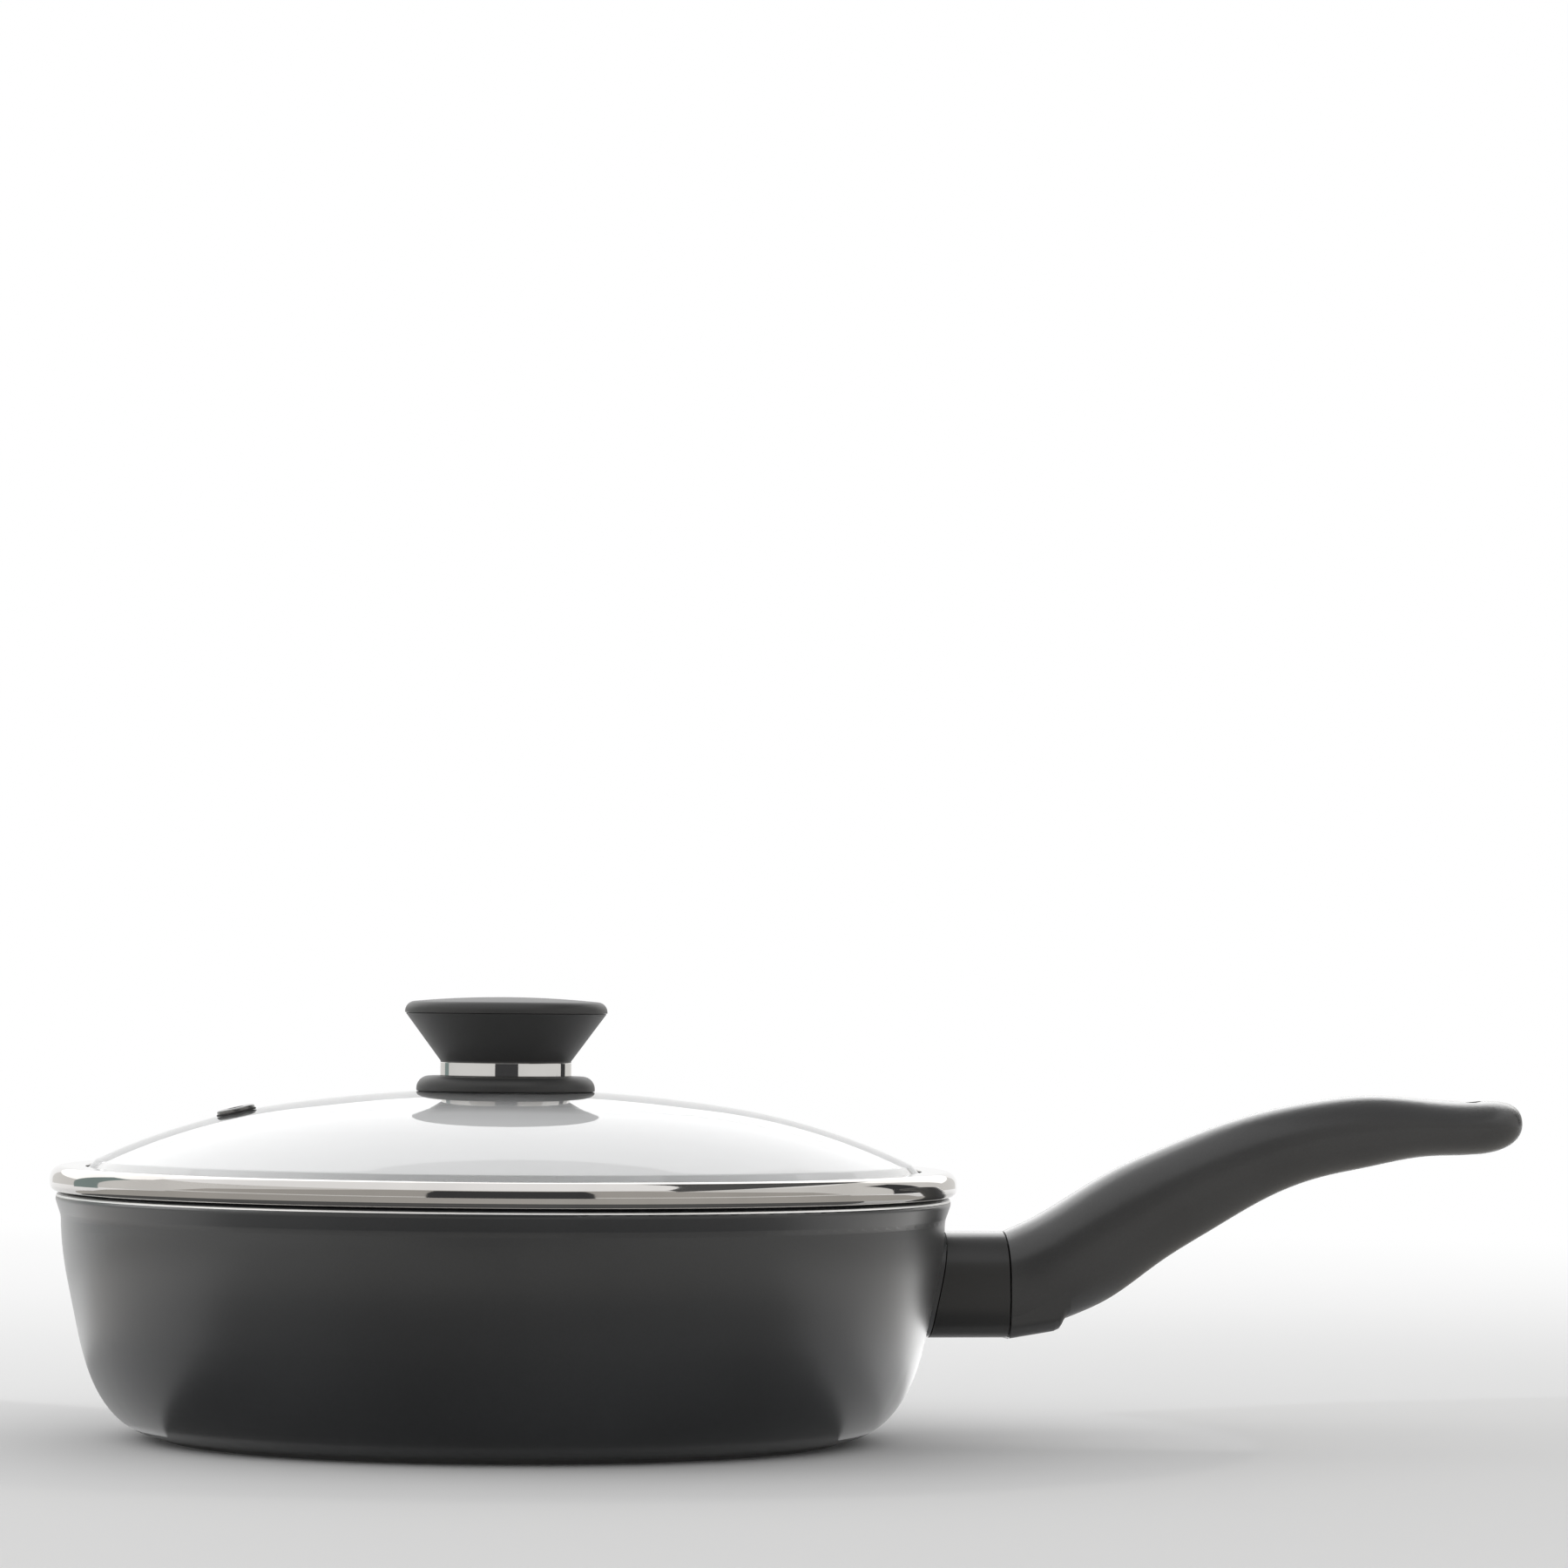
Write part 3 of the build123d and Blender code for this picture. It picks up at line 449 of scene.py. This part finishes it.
# Outline from corners (r, z, rounding), each rounded with an arc; an open one keeps its two ends
def softOutline(corners, closed=True, stepDegrees=8.0):
    points = []
    count = len(corners)
    for place, (r, z, rounding) in enumerate(corners):
        if not rounding or (not closed and place in (0, count - 1)):
            points.append((r, z))
            continue
        corner = Vector((r, z))
        back = (Vector(corners[place - 1][:2]) - corner).normalized()
        ahead = (Vector(corners[(place + 1) % count][:2]) - corner).normalized()
        halfAngle = back.angle(ahead) / 2
        reach = rounding / sin(halfAngle)
        centre = corner + (back + ahead).normalized() * reach
        setback = rounding / (sin(halfAngle) / cos(halfAngle))
        begin = corner + back * setback - centre
        end = corner + ahead * setback - centre
        turn = begin.angle_signed(end)
        steps = max(2, round(abs(turn) / radians(stepDegrees)))
        for step in range(steps + 1):
            angle = -turn * step / steps
            across = begin.x * cos(angle) - begin.y * sin(angle)
            up = begin.x * sin(angle) + begin.y * cos(angle)
            points.append((centre.x + across, centre.y + up))
    return points


onAxis = 1e-6  # millimetres


# Turn an outline of (radius, height) points in millimetres round the Z axis
def turnPiece(name, outline, body, slot, nodes, closed=True, steps=192, finish=None):
    mesh = bpy.data.meshes.new(name)
    shape = bmesh.new()
    rows = []
    for r, z in outline:
        if r < onAxis:
            rows.append([shape.verts.new((0, 0, z * mm))])
            continue
        angles = [2 * pi * step / steps for step in range(steps)]
        rows.append([shape.verts.new((r * mm * cos(a), r * mm * sin(a), z * mm)) for a in angles])
    pairs = list(zip(rows, rows[1:] + rows[:1])) if closed else list(zip(rows, rows[1:]))
    for low, high in pairs:
        if len(low) == 1 and len(high) == 1:
            continue
        for step in range(steps):
            after = (step + 1) % steps
            if len(low) == 1:
                shape.faces.new((low[0], high[after], high[step]))
            elif len(high) == 1:
                shape.faces.new((low[step], low[after], high[0]))
            else:
                shape.faces.new((low[step], low[after], high[after], high[step]))
    bmesh.ops.recalc_face_normals(shape, faces=shape.faces)
    for face in shape.faces:
        face.smooth = True
    shape.to_mesh(mesh)
    shape.free()
    return settle(name, mesh, body, slot, nodes, finish)


edgeShading = {"sharpDegrees": 32.0, "weight": 60}


# Link a finished mesh, give it its finish and its body, and let it stand for CAD nodes
def settle(name, mesh, body, slot, nodes, finish=None):
    piece = bpy.data.objects.new(name, mesh)
    scene.collection.objects.link(piece)
    mesh.materials.append(finishes[finish or slot])
    mesh.set_sharp_from_angle(angle=radians(edgeShading["sharpDegrees"]))
    weighted = piece.modifiers.new("faceNormals", "WEIGHTED_NORMAL")
    weighted.keep_sharp = True
    weighted.weight = edgeShading["weight"]
    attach(piece, body)
    if nodes:
        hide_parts(*nodes)
    return piece


lidSteps = 288  # faces round the band, the glass and the rim's bare edge

# Lid band: millimetres, as radius and height above the base's underside
lidSize = {
    "lipInner": 132.9,
    "lipTop": 85.8,
    "lipBend": 3.95,
    "sideBend": 8.9,
    "footBend": 2.35,
    "sideTurn": 16.0,
    "strip": 0.7,
    "seatInner": 137.75,
    "skirtBend": 0.85,
    "skirtRun": 2.8,
    "outerRadius": 143.85,
}


def makeRimBand(size):
    corner = 90 - size["sideTurn"] / 2
    bulge = size["sideBend"] * (1 - sin(radians(corner)))
    lipRun = size["outerRadius"] - bulge - size["lipBend"] * sin(radians(corner)) - size["lipInner"]
    footR = size["outerRadius"] - bulge - size["footBend"] * sin(radians(corner))
    moves = [
        ("run", lipRun / 2),
        ("run", lipRun / 2),
        ("bend", size["lipBend"], -corner),
        ("bend", size["sideBend"], -size["sideTurn"]),
        ("bend", size["footBend"], -corner),
        ("run", footR - size["seatInner"]),
        ("bend", size["skirtBend"], 90),
        ("run", size["skirtRun"]),
    ]
    path = walk((size["lipInner"], size["lipTop"]), 0.0, moves, stepDegrees=4.0)
    turnPiece("rimBand", stripOutline(path, size["strip"]), "lid", "rim_steel", ["lid_rim"], steps=lidSteps)


makeRimBand(lidSize)

# Glass dome: two arcs, then a turned-down edge that sits in the band
domeSize = {
    "crownRadius": 480.0,
    "crownReach": 70.0,
    "shoulderRadius": 211.0,
    "edgeReach": 129.5,
    "edgeHeight": 87.6,
    "flangeTop": 85.0,
    "bendRadius": 131.8,
    "edgeRadius": 141.4,
    "thickness": 4.0,
    "bendRound": 2.0,
    "edgeRound": 1.5,
    "bendShare": 0.55,
    "arcEnd": 1.2,
    "knobHole": 3.2,
    "ventReach": 85.6,
    "ventHole": 3.5,
    "drillDepth": 30.0,
    "ringSteps": 40,
}


# Drop of the dome below its outer apex at a radius, a given depth in the glass
def domeDrop(radius, depth):
    size = domeSize
    join = asin(size["crownReach"] / size["crownRadius"])
    if radius <= (size["crownRadius"] - depth) * sin(join):
        return size["crownRadius"] - sqrt((size["crownRadius"] - depth) ** 2 - radius**2)
    centreR = (size["crownRadius"] - size["shoulderRadius"]) * sin(join)
    centreDrop = size["crownRadius"] - (size["crownRadius"] - size["shoulderRadius"]) * cos(join)
    return centreDrop - sqrt((size["shoulderRadius"] - depth) ** 2 - (radius - centreR) ** 2)


domeApex = domeSize["edgeHeight"] + domeDrop(domeSize["edgeReach"], 0)


def domeHeight(radius, depth=0.0):
    return domeApex - domeDrop(radius, depth)


def domeSlope(radius):
    size = domeSize
    centreR = (size["crownRadius"] - size["shoulderRadius"]) * size["crownReach"] / size["crownRadius"]
    return asin((radius - centreR) / size["shoulderRadius"])


def makeGlassDome(size):
    innerReach = size["edgeReach"] - size["thickness"] * sin(domeSlope(size["edgeReach"]))
    flangeLow = size["flangeTop"] - size["thickness"]
    bend, edge = size["bendRound"], size["edgeRound"]
    hole, steps = size["knobHole"], size["ringSteps"]
    shares = [step / steps for step in range(steps + 1)]
    outerArc = [hole + (size["edgeReach"] - size["arcEnd"] - hole) * share for share in shares]
    innerArc = [hole + (innerReach - size["arcEnd"] - hole) * share for share in shares]
    corners = [(r, domeHeight(r), 0) for r in outerArc]
    corners += [
        (size["edgeReach"], size["edgeHeight"], bend),
        (size["bendRadius"], size["flangeTop"], bend),
        (size["edgeRadius"], size["flangeTop"], edge),
        (size["edgeRadius"], flangeLow, edge),
        (size["bendRadius"] - size["thickness"] * size["bendShare"], flangeLow, bend),
        (innerReach, domeHeight(innerReach, size["thickness"]), bend),
    ]
    corners += [(r, domeHeight(r, size["thickness"]), 0) for r in reversed(innerArc)]
    return turnPiece("glassDome", softOutline(corners), "lid", "lid_glass", ["lid_glass"], steps=lidSteps)


# Cut a round hole through a piece, along an axis
def drill(piece, centre, axis, radius, depth, sides=48):
    mesh = bpy.data.meshes.new("drill")
    shape = bmesh.new()
    bmesh.ops.create_cone(shape, cap_ends=True, segments=sides, radius1=radius, radius2=radius, depth=depth)
    shape.to_mesh(mesh)
    shape.free()
    cutter = bpy.data.objects.new("drill", mesh)
    scene.collection.objects.link(cutter)
    cutter.matrix_world = Matrix.Translation(centre) @ axis.to_track_quat("Z", "Y").to_matrix().to_4x4()
    hole = piece.modifiers.new("hole", "BOOLEAN")
    hole.operation = "DIFFERENCE"
    hole.object = cutter
    evaluated = piece.evaluated_get(bpy.context.evaluated_depsgraph_get())
    drilled = bpy.data.meshes.new_from_object(evaluated)
    piece.modifiers.clear()
    piece.data = drilled
    bpy.data.objects.remove(cutter)


def makeVentHole(size):
    slope = domeSlope(size["ventReach"])
    centre = Vector((-size["ventReach"] * mm, 0.0, domeHeight(size["ventReach"]) * mm))
    axis = Vector((-sin(slope), 0.0, cos(slope)))
    drill(makeGlassDome(size), centre, axis, size["ventHole"] * mm, size["drillDepth"] * mm)


makeVentHole(domeSize)


# Knob, in millimetres: radii and roundings, and heights above the face that each form starts from
knobSize = {
    "holeRadius": 3.2,
    "flangeRadius": 28.4,
    "flangeEdge": 4.0,
    "flangeFoot": 0.4,
    "lipWidth": 2.9,
    "lipGap": 0.1,
    "hubGap": 0.5,
    "gasketInner": 19.1,
    "gasketTop": 1.6,
    "ringRadius": 21.0,
    "ringWall": 2.0,
    "ringEdge": 0.25,
    "ringSeat": 1.5,
    "spigotRadius": 18.9,
    "footRadius": 20.8,
    "footLip": 0.4,
    "footRound": 0.15,
    "neckRound": 0.4,
    "coneRadius": 32.0,
    "coneRound": 0.15,
    "pocketRadius": 25.0,
    "pocketFloor": 10.0,
    "pocketDepth": 9.0,
    "coreRadius": 4.5,
    "coreTop": 9.1,
    "capRadius": 32.2,
    "capShoulder": 3.4,
    "capCrown": 5.1,
    "capEdge": 3.2,
    "capFootRound": 0.12,
    "capPlug": 22.3,
    "plugDepth": 1.5,
    "partingDepth": 1.4,
    "partingGap": 0.12,
    "crownShare": 0.88,
    "crownSteps": 12,
}


def makeFlange(size, foot, top):
    lipInner = size["flangeRadius"] - size["lipWidth"]
    hub, gasketTop = domeApex + size["hubGap"], domeApex + size["gasketTop"]
    flange = [
        (size["holeRadius"], hub, 0),
        (size["gasketInner"], hub, 0),
        (size["gasketInner"], gasketTop, 0),
        (lipInner, gasketTop, 0),
        (lipInner, domeHeight(lipInner) + size["lipGap"], 0),
        (size["flangeRadius"], foot, size["flangeFoot"]),
        (size["flangeRadius"], top, size["flangeEdge"]),
        (size["ringRadius"] + size["ringSeat"], top, 0),
        (size["holeRadius"], top, 0),
    ]
    turnPiece("knobFlange", softOutline(flange), "lid", "knob_plastic", ["knob_flange"])


def makeKnobRing(size, low, top):
    inner = size["ringRadius"] - size["ringWall"]
    ring = [
        (inner, low, 0),
        (size["ringRadius"], low, size["ringEdge"]),
        (size["ringRadius"], top, size["ringEdge"]),
        (inner, top, 0),
    ]
    turnPiece("knobRing", softOutline(ring), "lid", "ring_steel", ["knob_ring"])


def makeKnobCone(size, low, ringTop, top):
    cone = [
        (size["coreRadius"], low, 0),
        (size["spigotRadius"], low, 0),
        (size["spigotRadius"], ringTop, 0),
        (size["footRadius"], ringTop, size["footRound"]),
        (size["footRadius"], ringTop + size["footLip"], size["neckRound"]),
        (size["coneRadius"], top, size["coneRound"]),
        (size["pocketRadius"], top, 0),
        (size["pocketFloor"], top - size["pocketDepth"], 0),
        (0, top - size["pocketDepth"], 0),
        (0, low + size["coreTop"], 0),
        (size["coreRadius"], low + size["coreTop"], 0),
    ]
    turnPiece("knobCone", softOutline(cone), "lid", "knob_plastic", ["knob_grip"])


def makeKnobCap(size, low):
    parting = size["capRadius"] - size["partingDepth"]
    cap = [
        (0, low - size["plugDepth"], 0),
        (size["capPlug"], low - size["plugDepth"], 0),
        (size["capPlug"], low, 0),
        (parting, low, 0),
        (parting, low + size["partingGap"], 0),
        (size["capRadius"], low + size["partingGap"], size["capFootRound"]),
        (size["capRadius"], low + size["capShoulder"], size["capEdge"]),
    ]
    drop = size["capCrown"] - size["capShoulder"]
    sphere = (size["capRadius"] ** 2 + drop**2) / (2 * drop)
    for step in range(size["crownSteps"], -1, -1):
        r = size["capRadius"] * size["crownShare"] * step / size["crownSteps"]
        cap.append((r, low + size["capCrown"] - (sphere - sqrt(sphere**2 - r**2)), 0))
    outline = softOutline(cap, closed=False)
    turnPiece("knobCap", outline, "lid", "knob_plastic", ["knob_cap"], closed=False)


def makeKnob(size):
    foot, flangeTop = (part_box("knob_flange")[place].z / mm for place in (0, 1))
    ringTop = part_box("knob_ring")[1].z / mm
    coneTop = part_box("knob_grip")[1].z / mm
    makeFlange(size, foot, flangeTop)
    makeKnobRing(size, flangeTop, ringTop)
    makeKnobCone(size, flangeTop, ringTop, coneTop)
    makeKnobCap(size, coneTop)


makeKnob(knobSize)
print("lid pieces turned")

# Painted highlight along the outer edge of the pan's rim: a thin strip of bright bare metal laid on the
# coat's round, which edgeGlow alone lights
edgeSize = {
    "centreRadius": 139.7,
    "centreHeight": 75.6,
    "radius": 2.23,
    "low": 19.0,
    "high": 36.0,
    "depth": 0.02,
}


def makeRimEdgeHighlight(size):
    low, turn = size["low"], size["high"] - size["low"]
    start = (
        size["centreRadius"] + size["radius"] * cos(radians(low)),
        size["centreHeight"] + size["radius"] * sin(radians(low)),
    )
    path = walk(start, 90.0 + low, [("bend", size["radius"], turn)], stepDegrees=3.0)
    outline = stripOutline([(r, z, h + 180) for r, z, h in reversed(path)], size["depth"])
    return turnPiece("rimEdgeHighlight", outline, "pan", "pan_coat", [], steps=lidSteps, finish="bare_edge_highlight")


rimEdgeHighlight = makeRimEdgeHighlight(edgeSize)


def makeLatchSpring():
    spring = bpy.data.objects.new("latchSpring", frame["nodes"]["latch_spring"].data.copy())
    scene.collection.objects.link(spring)
    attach(spring, "handle")
    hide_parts("latch_spring")
    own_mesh(spring)


makeLatchSpring()


# Stage: a pale floor that turns white with distance, in metres
floorLook = {
    "halfWidth": 12.0,
    "clearRadius": 0.35,
    "fadeRadius": 1.7,
    "low": (0.80, 0.80, 0.80),
    "high": (0.82, 0.82, 0.82),
    "roughness": 0.8,
}


def makeFloor(look):
    mesh = bpy.data.meshes.new("floor")
    shape = bmesh.new()
    bmesh.ops.create_grid(shape, x_segments=8, y_segments=8, size=look["halfWidth"])
    shape.to_mesh(mesh)
    shape.free()
    floor = bpy.data.objects.new("floor", mesh)
    scene.collection.objects.link(floor)
    paint = Finish("paleFloor")
    x, y, _ = paint.parts(paint.place())
    distance = (x * x + y * y) ** 0.5
    mottle = paint.noise(paint.place(), 3.0)
    tone = paint.between(mottle, look["low"], look["high"])
    lit = paint.shader(Base_Color=tone, Roughness=look["roughness"])
    white = paint.add("ShaderNodeEmission", inputs={"Color": (1, 1, 1, 1), "Strength": 1.0})
    fade = distance.ramp(look["clearRadius"], look["fadeRadius"])
    mesh.materials.append(paint.finish(paint.add("ShaderNodeMixShader", inputs={0: fade, 1: lit, 2: white})))


makeFloor(floorLook)

# White surroundings for the camera, gloss and glass; a plain level for everything else
skyLook = {"ambient": 0.70}


def makeSky(look):
    scene.world = bpy.data.worlds.new("studio")
    sky = Finish("studio", scene.world)
    rays = sky.tree.nodes.new("ShaderNodeLightPath")
    kinds = ("Is Camera Ray", "Is Glossy Ray", "Is Transmission Ray")
    camera, glossy, transmission = (Wire(sky.tree, rays.outputs[kind]) for kind in kinds)
    total = camera + glossy + transmission
    shown = total.calc("MINIMUM", total, 1.0)
    strength = look["ambient"] + shown * (1 - look["ambient"])
    shade = sky.add("ShaderNodeBackground", inputs={"Color": (1, 1, 1, 1), "Strength": strength})
    sky.finish(shade, "ShaderNodeOutputWorld")


makeSky(skyLook)

# Soft lamps, in metres and watts; the left one would show as a patch in the gloss
lamps = {
    "backLamp": {
        "place": (0.05, 1.2, 0.80),
        "aim": (0.05, 0.0, 0.08),
        "size": (2.6, 1.0),
        "watts": 5.5,
        "inGloss": True,
    },
    "leftLamp": {
        "place": (-1.4, 0.5, 0.70),
        "aim": (0.0, 0.0, 0.05),
        "size": (1.6, 1.3),
        "watts": 6.5,
        "inGloss": False,
    },
}


def makeLamp(name, look):
    data = bpy.data.lights.new(name, "AREA")
    data.shape = "RECTANGLE"
    data.size, data.size_y = look["size"]
    data.energy = look["watts"]
    lamp = bpy.data.objects.new(name, data)
    lamp.location = look["place"]
    ray = Vector(look["aim"]) - Vector(look["place"])
    lamp.rotation_euler = ray.to_track_quat("-Z", "Y").to_euler()
    lamp.visible_glossy = look["inGloss"]
    scene.collection.objects.link(lamp)


for lampName, lampLook in lamps.items():
    makeLamp(lampName, lampLook)

# Camera: long lens, level with the lid, turned off the handle's normal by its heading in degrees
view = {
    "lens": 144.0,
    "sensor": 36.0,
    "near": 0.05,
    "far": 40.0,
    "place": (-0.277848, -1.980606, 0.148381),
    "heading": 10.5,
    "pitch": 1.72706,
    "roll": 0.50576,
}


def makeCamera(look):
    heading, pitch, roll = (radians(look[name]) for name in ("heading", "pitch", "roll"))
    forward = Vector((sin(heading) * cos(pitch), cos(heading) * cos(pitch), sin(pitch)))
    level = Vector((cos(heading), -sin(heading), 0.0))
    upward = level.cross(forward)
    right = level * cos(roll) + upward * sin(roll)
    top = upward * cos(roll) - level * sin(roll)
    data = bpy.data.cameras.new("photoCamera")
    data.lens = look["lens"]
    data.sensor_width = look["sensor"]
    data.clip_start = look["near"]
    data.clip_end = look["far"]
    camera = bpy.data.objects.new("photoCamera", data)
    camera.matrix_world = Matrix(
        (
            (right.x, top.x, -forward.x, look["place"][0]),
            (right.y, top.y, -forward.y, look["place"][1]),
            (right.z, top.z, -forward.z, look["place"][2]),
            (0, 0, 0, 1),
        )
    )
    scene.collection.objects.link(camera)
    scene.camera = camera


makeCamera(view)

# Cards round the stage that only gloss shows, painted reflections of dark, grey and pale surroundings
# and of shade on the floor. Bearings are degrees off the camera's side, and each column of a card runs
# from its low to its high end, as (reach, height) in metres. A card with a glow is a painted highlight:
# it adds its light to the gloss of the pieces it lights, and all else looks through it.
cardBearing = -96.5
# Colours of the painted reflections; shade and deepShade are painted shade
cardColours = {
    "dark": (0.05, 0.05, 0.052),
    "leftDark": (0.24, 0.30, 0.29),
    "strip": (0.74, 0.735, 0.72),
    "shade": (0.435, 0.42, 0.395),
    "deepShade": (0.10, 0.10, 0.10),
    "pale": (0.74, 0.73, 0.71),
    "white": (1.0, 1.0, 1.0),
}
roomSize = {
    "reach": 2.0,
    "eyeHeight": 0.08,
    "rise": 38.0,
    "levelTo": 34.0,
    "fall": 0.66,
    "sides": 92.0,
    "floorFall": 0.055,
    "floorHeight": 0.003,
}


# Top of the shaded room in front: level by the camera, falling to the floor at its sides
def roomTop(bearing):
    size = roomSize
    rise = radians(size["rise"] - max(0.0, abs(bearing) - size["levelTo"]) * size["fall"])
    return size["reach"], max(0.0, size["eyeHeight"] + size["reach"] * sin(rise) / cos(rise))


# Far end of the room's floor, drawn in past the room's sides
def roomFloorEnd(bearing):
    past = max(0.0, abs(bearing) - roomSize["sides"])
    return roomSize["reach"] - past * roomSize["floorFall"], roomSize["floorHeight"]


handlePieces = [frame["nodes"][name] for name in ("handle_grip", "handle_collar", "latch_lever")]
panPieces = [frame["nodes"]["pan_body"]]
cards = {
    # Painted dark reflections in front and to the sides
    "frontCard": {"colour": "dark", "span": (-20, 20), "low": (1.9, -0.2), "high": (1.9, 1.4)},
    "leftCard": {"colour": "leftDark", "span": (-134, -119), "low": (1.3, -0.2), "high": (1.3, 0.8)},
    "rightCard": {"colour": "dark", "span": (110, 125), "low": (1.9, -0.2), "high": (1.9, 1.1)},
    "roomCard": {"colour": "shade", "span": (-92, 92), "low": (2.0, 0.0), "high": roomTop, "steps": 48},
    "brightStrip": {
        "colour": "strip",
        "span": (-112, 107),
        "low": (1.95, 0.05),
        "high": (1.95, 0.13),
        "steps": 32,
    },
    "sideCard": {"colour": "pale", "span": (-160, 160), "low": (2.1, 0.0), "high": (2.1, 1.9), "steps": 48},
    # Painted highlight on the grip, collar and key, from behind and above
    "backGlow": {
        "glow": 2.0,
        "lights": handlePieces,
        "span": (130, 230),
        "low": (1.2, 0.45),
        "high": (0.25, 1.15),
        "steps": 20,
    },
    # Painted highlight on the pan's left side
    "leftGlow": {
        "glow": 1.35,
        "lights": panPieces,
        "span": (-131, -62),
        "low": (1.5, 0.25),
        "high": (1.5, 1.2),
    },
    # Painted highlight on the pan's lower wall, as from the floor beside it
    "rightFloorGlow": {
        "glow": 1.55,
        "lights": panPieces,
        "span": (108, 168),
        "low": (0.112, 0.004),
        "high": (0.42, 0.004),
        "steps": 16,
    },
    # Painted highlight on the pan's lower wall, as from the floor in front
    "frontFloorGlow": {
        "glow": 0.35,
        "lights": panPieces,
        "span": (60, 108),
        "low": (0.112, 0.004),
        "high": (0.42, 0.004),
        "steps": 16,
    },
    # Painted highlight on the pan's lower left wall, as from the floor beside it
    "leftFloorGlow": {
        "glow": 0.4,
        "lights": panPieces,
        "span": (-150, -62),
        "low": (0.112, 0.004),
        "high": (0.42, 0.004),
        "steps": 16,
    },
    # Painted highlight on the strip along the pan's rim edge, and on nothing else
    "edgeGlow": {
        "glow": 0.75,
        "lights": [rimEdgeHighlight],
        "span": (-125, 125),
        "low": (1.4, 0.0),
        "high": (1.4, 1.2),
        "steps": 24,
    },
    # Painted shade: a grey floor for gloss only, laid over the pale floor beyond the dark ring
    "roomFloorShade": {
        "colour": "shade",
        "span": (-122, 122),
        "low": (0.24, 0.003),
        "high": roomFloorEnd,
        "steps": 48,
    },
    # Painted shadow: a dark ring of floor round the pan that only gloss shows
    "nearFloorShadow": {
        "colour": "deepShade",
        "span": (-135, 80),
        "low": (0.12, 0.003),
        "high": (0.24, 0.003),
        "steps": 40,
    },
    # Painted highlight along the undersides of the grip, collar and key
    "underGlow": {
        "glow": 2.2,
        "lights": handlePieces,
        "span": (140, 220),
        "low": (0.3, 0.004),
        "high": (2.0, 0.004),
        "steps": 16,
    },
    # Painted dark reflection over the handle, narrower at its start than at its end
    "overheadCard": {
        "colour": "deepShade",
        "columns": [(42.0, (0.60, 0.55), (0.9, 0.55)), (140.0, (0.22, 0.60), (0.75, 0.60))],
    },
}
cardSteps = 12
cardMottle = {"scale": 2.0, "darker": 0.97}


def cardColumns(look):
    if "columns" in look:
        return look["columns"]
    start, end = look["span"]
    steps = look.get("steps", cardSteps)
    columns = []
    for step in range(steps + 1):
        bearing = start + (end - start) * step / steps
        low, high = (look[side](bearing) if callable(look[side]) else look[side] for side in ("low", "high"))
        columns.append((bearing, low, high))
    return columns


def makeCard(name, look):
    mesh = bpy.data.meshes.new(name)
    shape = bmesh.new()
    rows = []
    for bearing, *ends in cardColumns(look):
        angle = radians(cardBearing + bearing)
        corners = [(reach * cos(angle), reach * sin(angle), height) for reach, height in ends]
        rows.append([shape.verts.new(corner) for corner in corners])
    for before, after in zip(rows, rows[1:]):
        shape.faces.new((before[0], after[0], after[1], before[1]))
    shape.to_mesh(mesh)
    shape.free()
    card = bpy.data.objects.new(name, mesh)
    scene.collection.objects.link(card)
    paint = Finish(name + "Paint")
    colour = cardColours[look.get("colour", "white")]
    darker = tuple(part * cardMottle["darker"] for part in colour)
    tone = paint.between(paint.noise(paint.place(), cardMottle["scale"]), darker, colour)
    # Painted reflection: an emission that only gloss sees
    shade = paint.add("ShaderNodeEmission", inputs={"Color": tone, "Strength": look.get("glow", 1.0)})
    # A glow card's emission is a painted highlight on its linked pieces only
    if "glow" in look:
        shade = paint.add("ShaderNodeAddShader", inputs={0: shade, 1: paint.add("ShaderNodeBsdfTransparent")})
        receivers = bpy.data.collections.new(name + "Lights")
        for piece in look["lights"]:
            receivers.objects.link(piece)
        card.light_linking.receiver_collection = receivers
    mesh.materials.append(paint.finish(shade))
    for kind in ("camera", "diffuse", "transmission", "volume_scatter", "shadow"):
        setattr(card, "visible_" + kind, False)


for cardName, cardLook in cards.items():
    makeCard(cardName, cardLook)
print("stage, lamps and camera set")
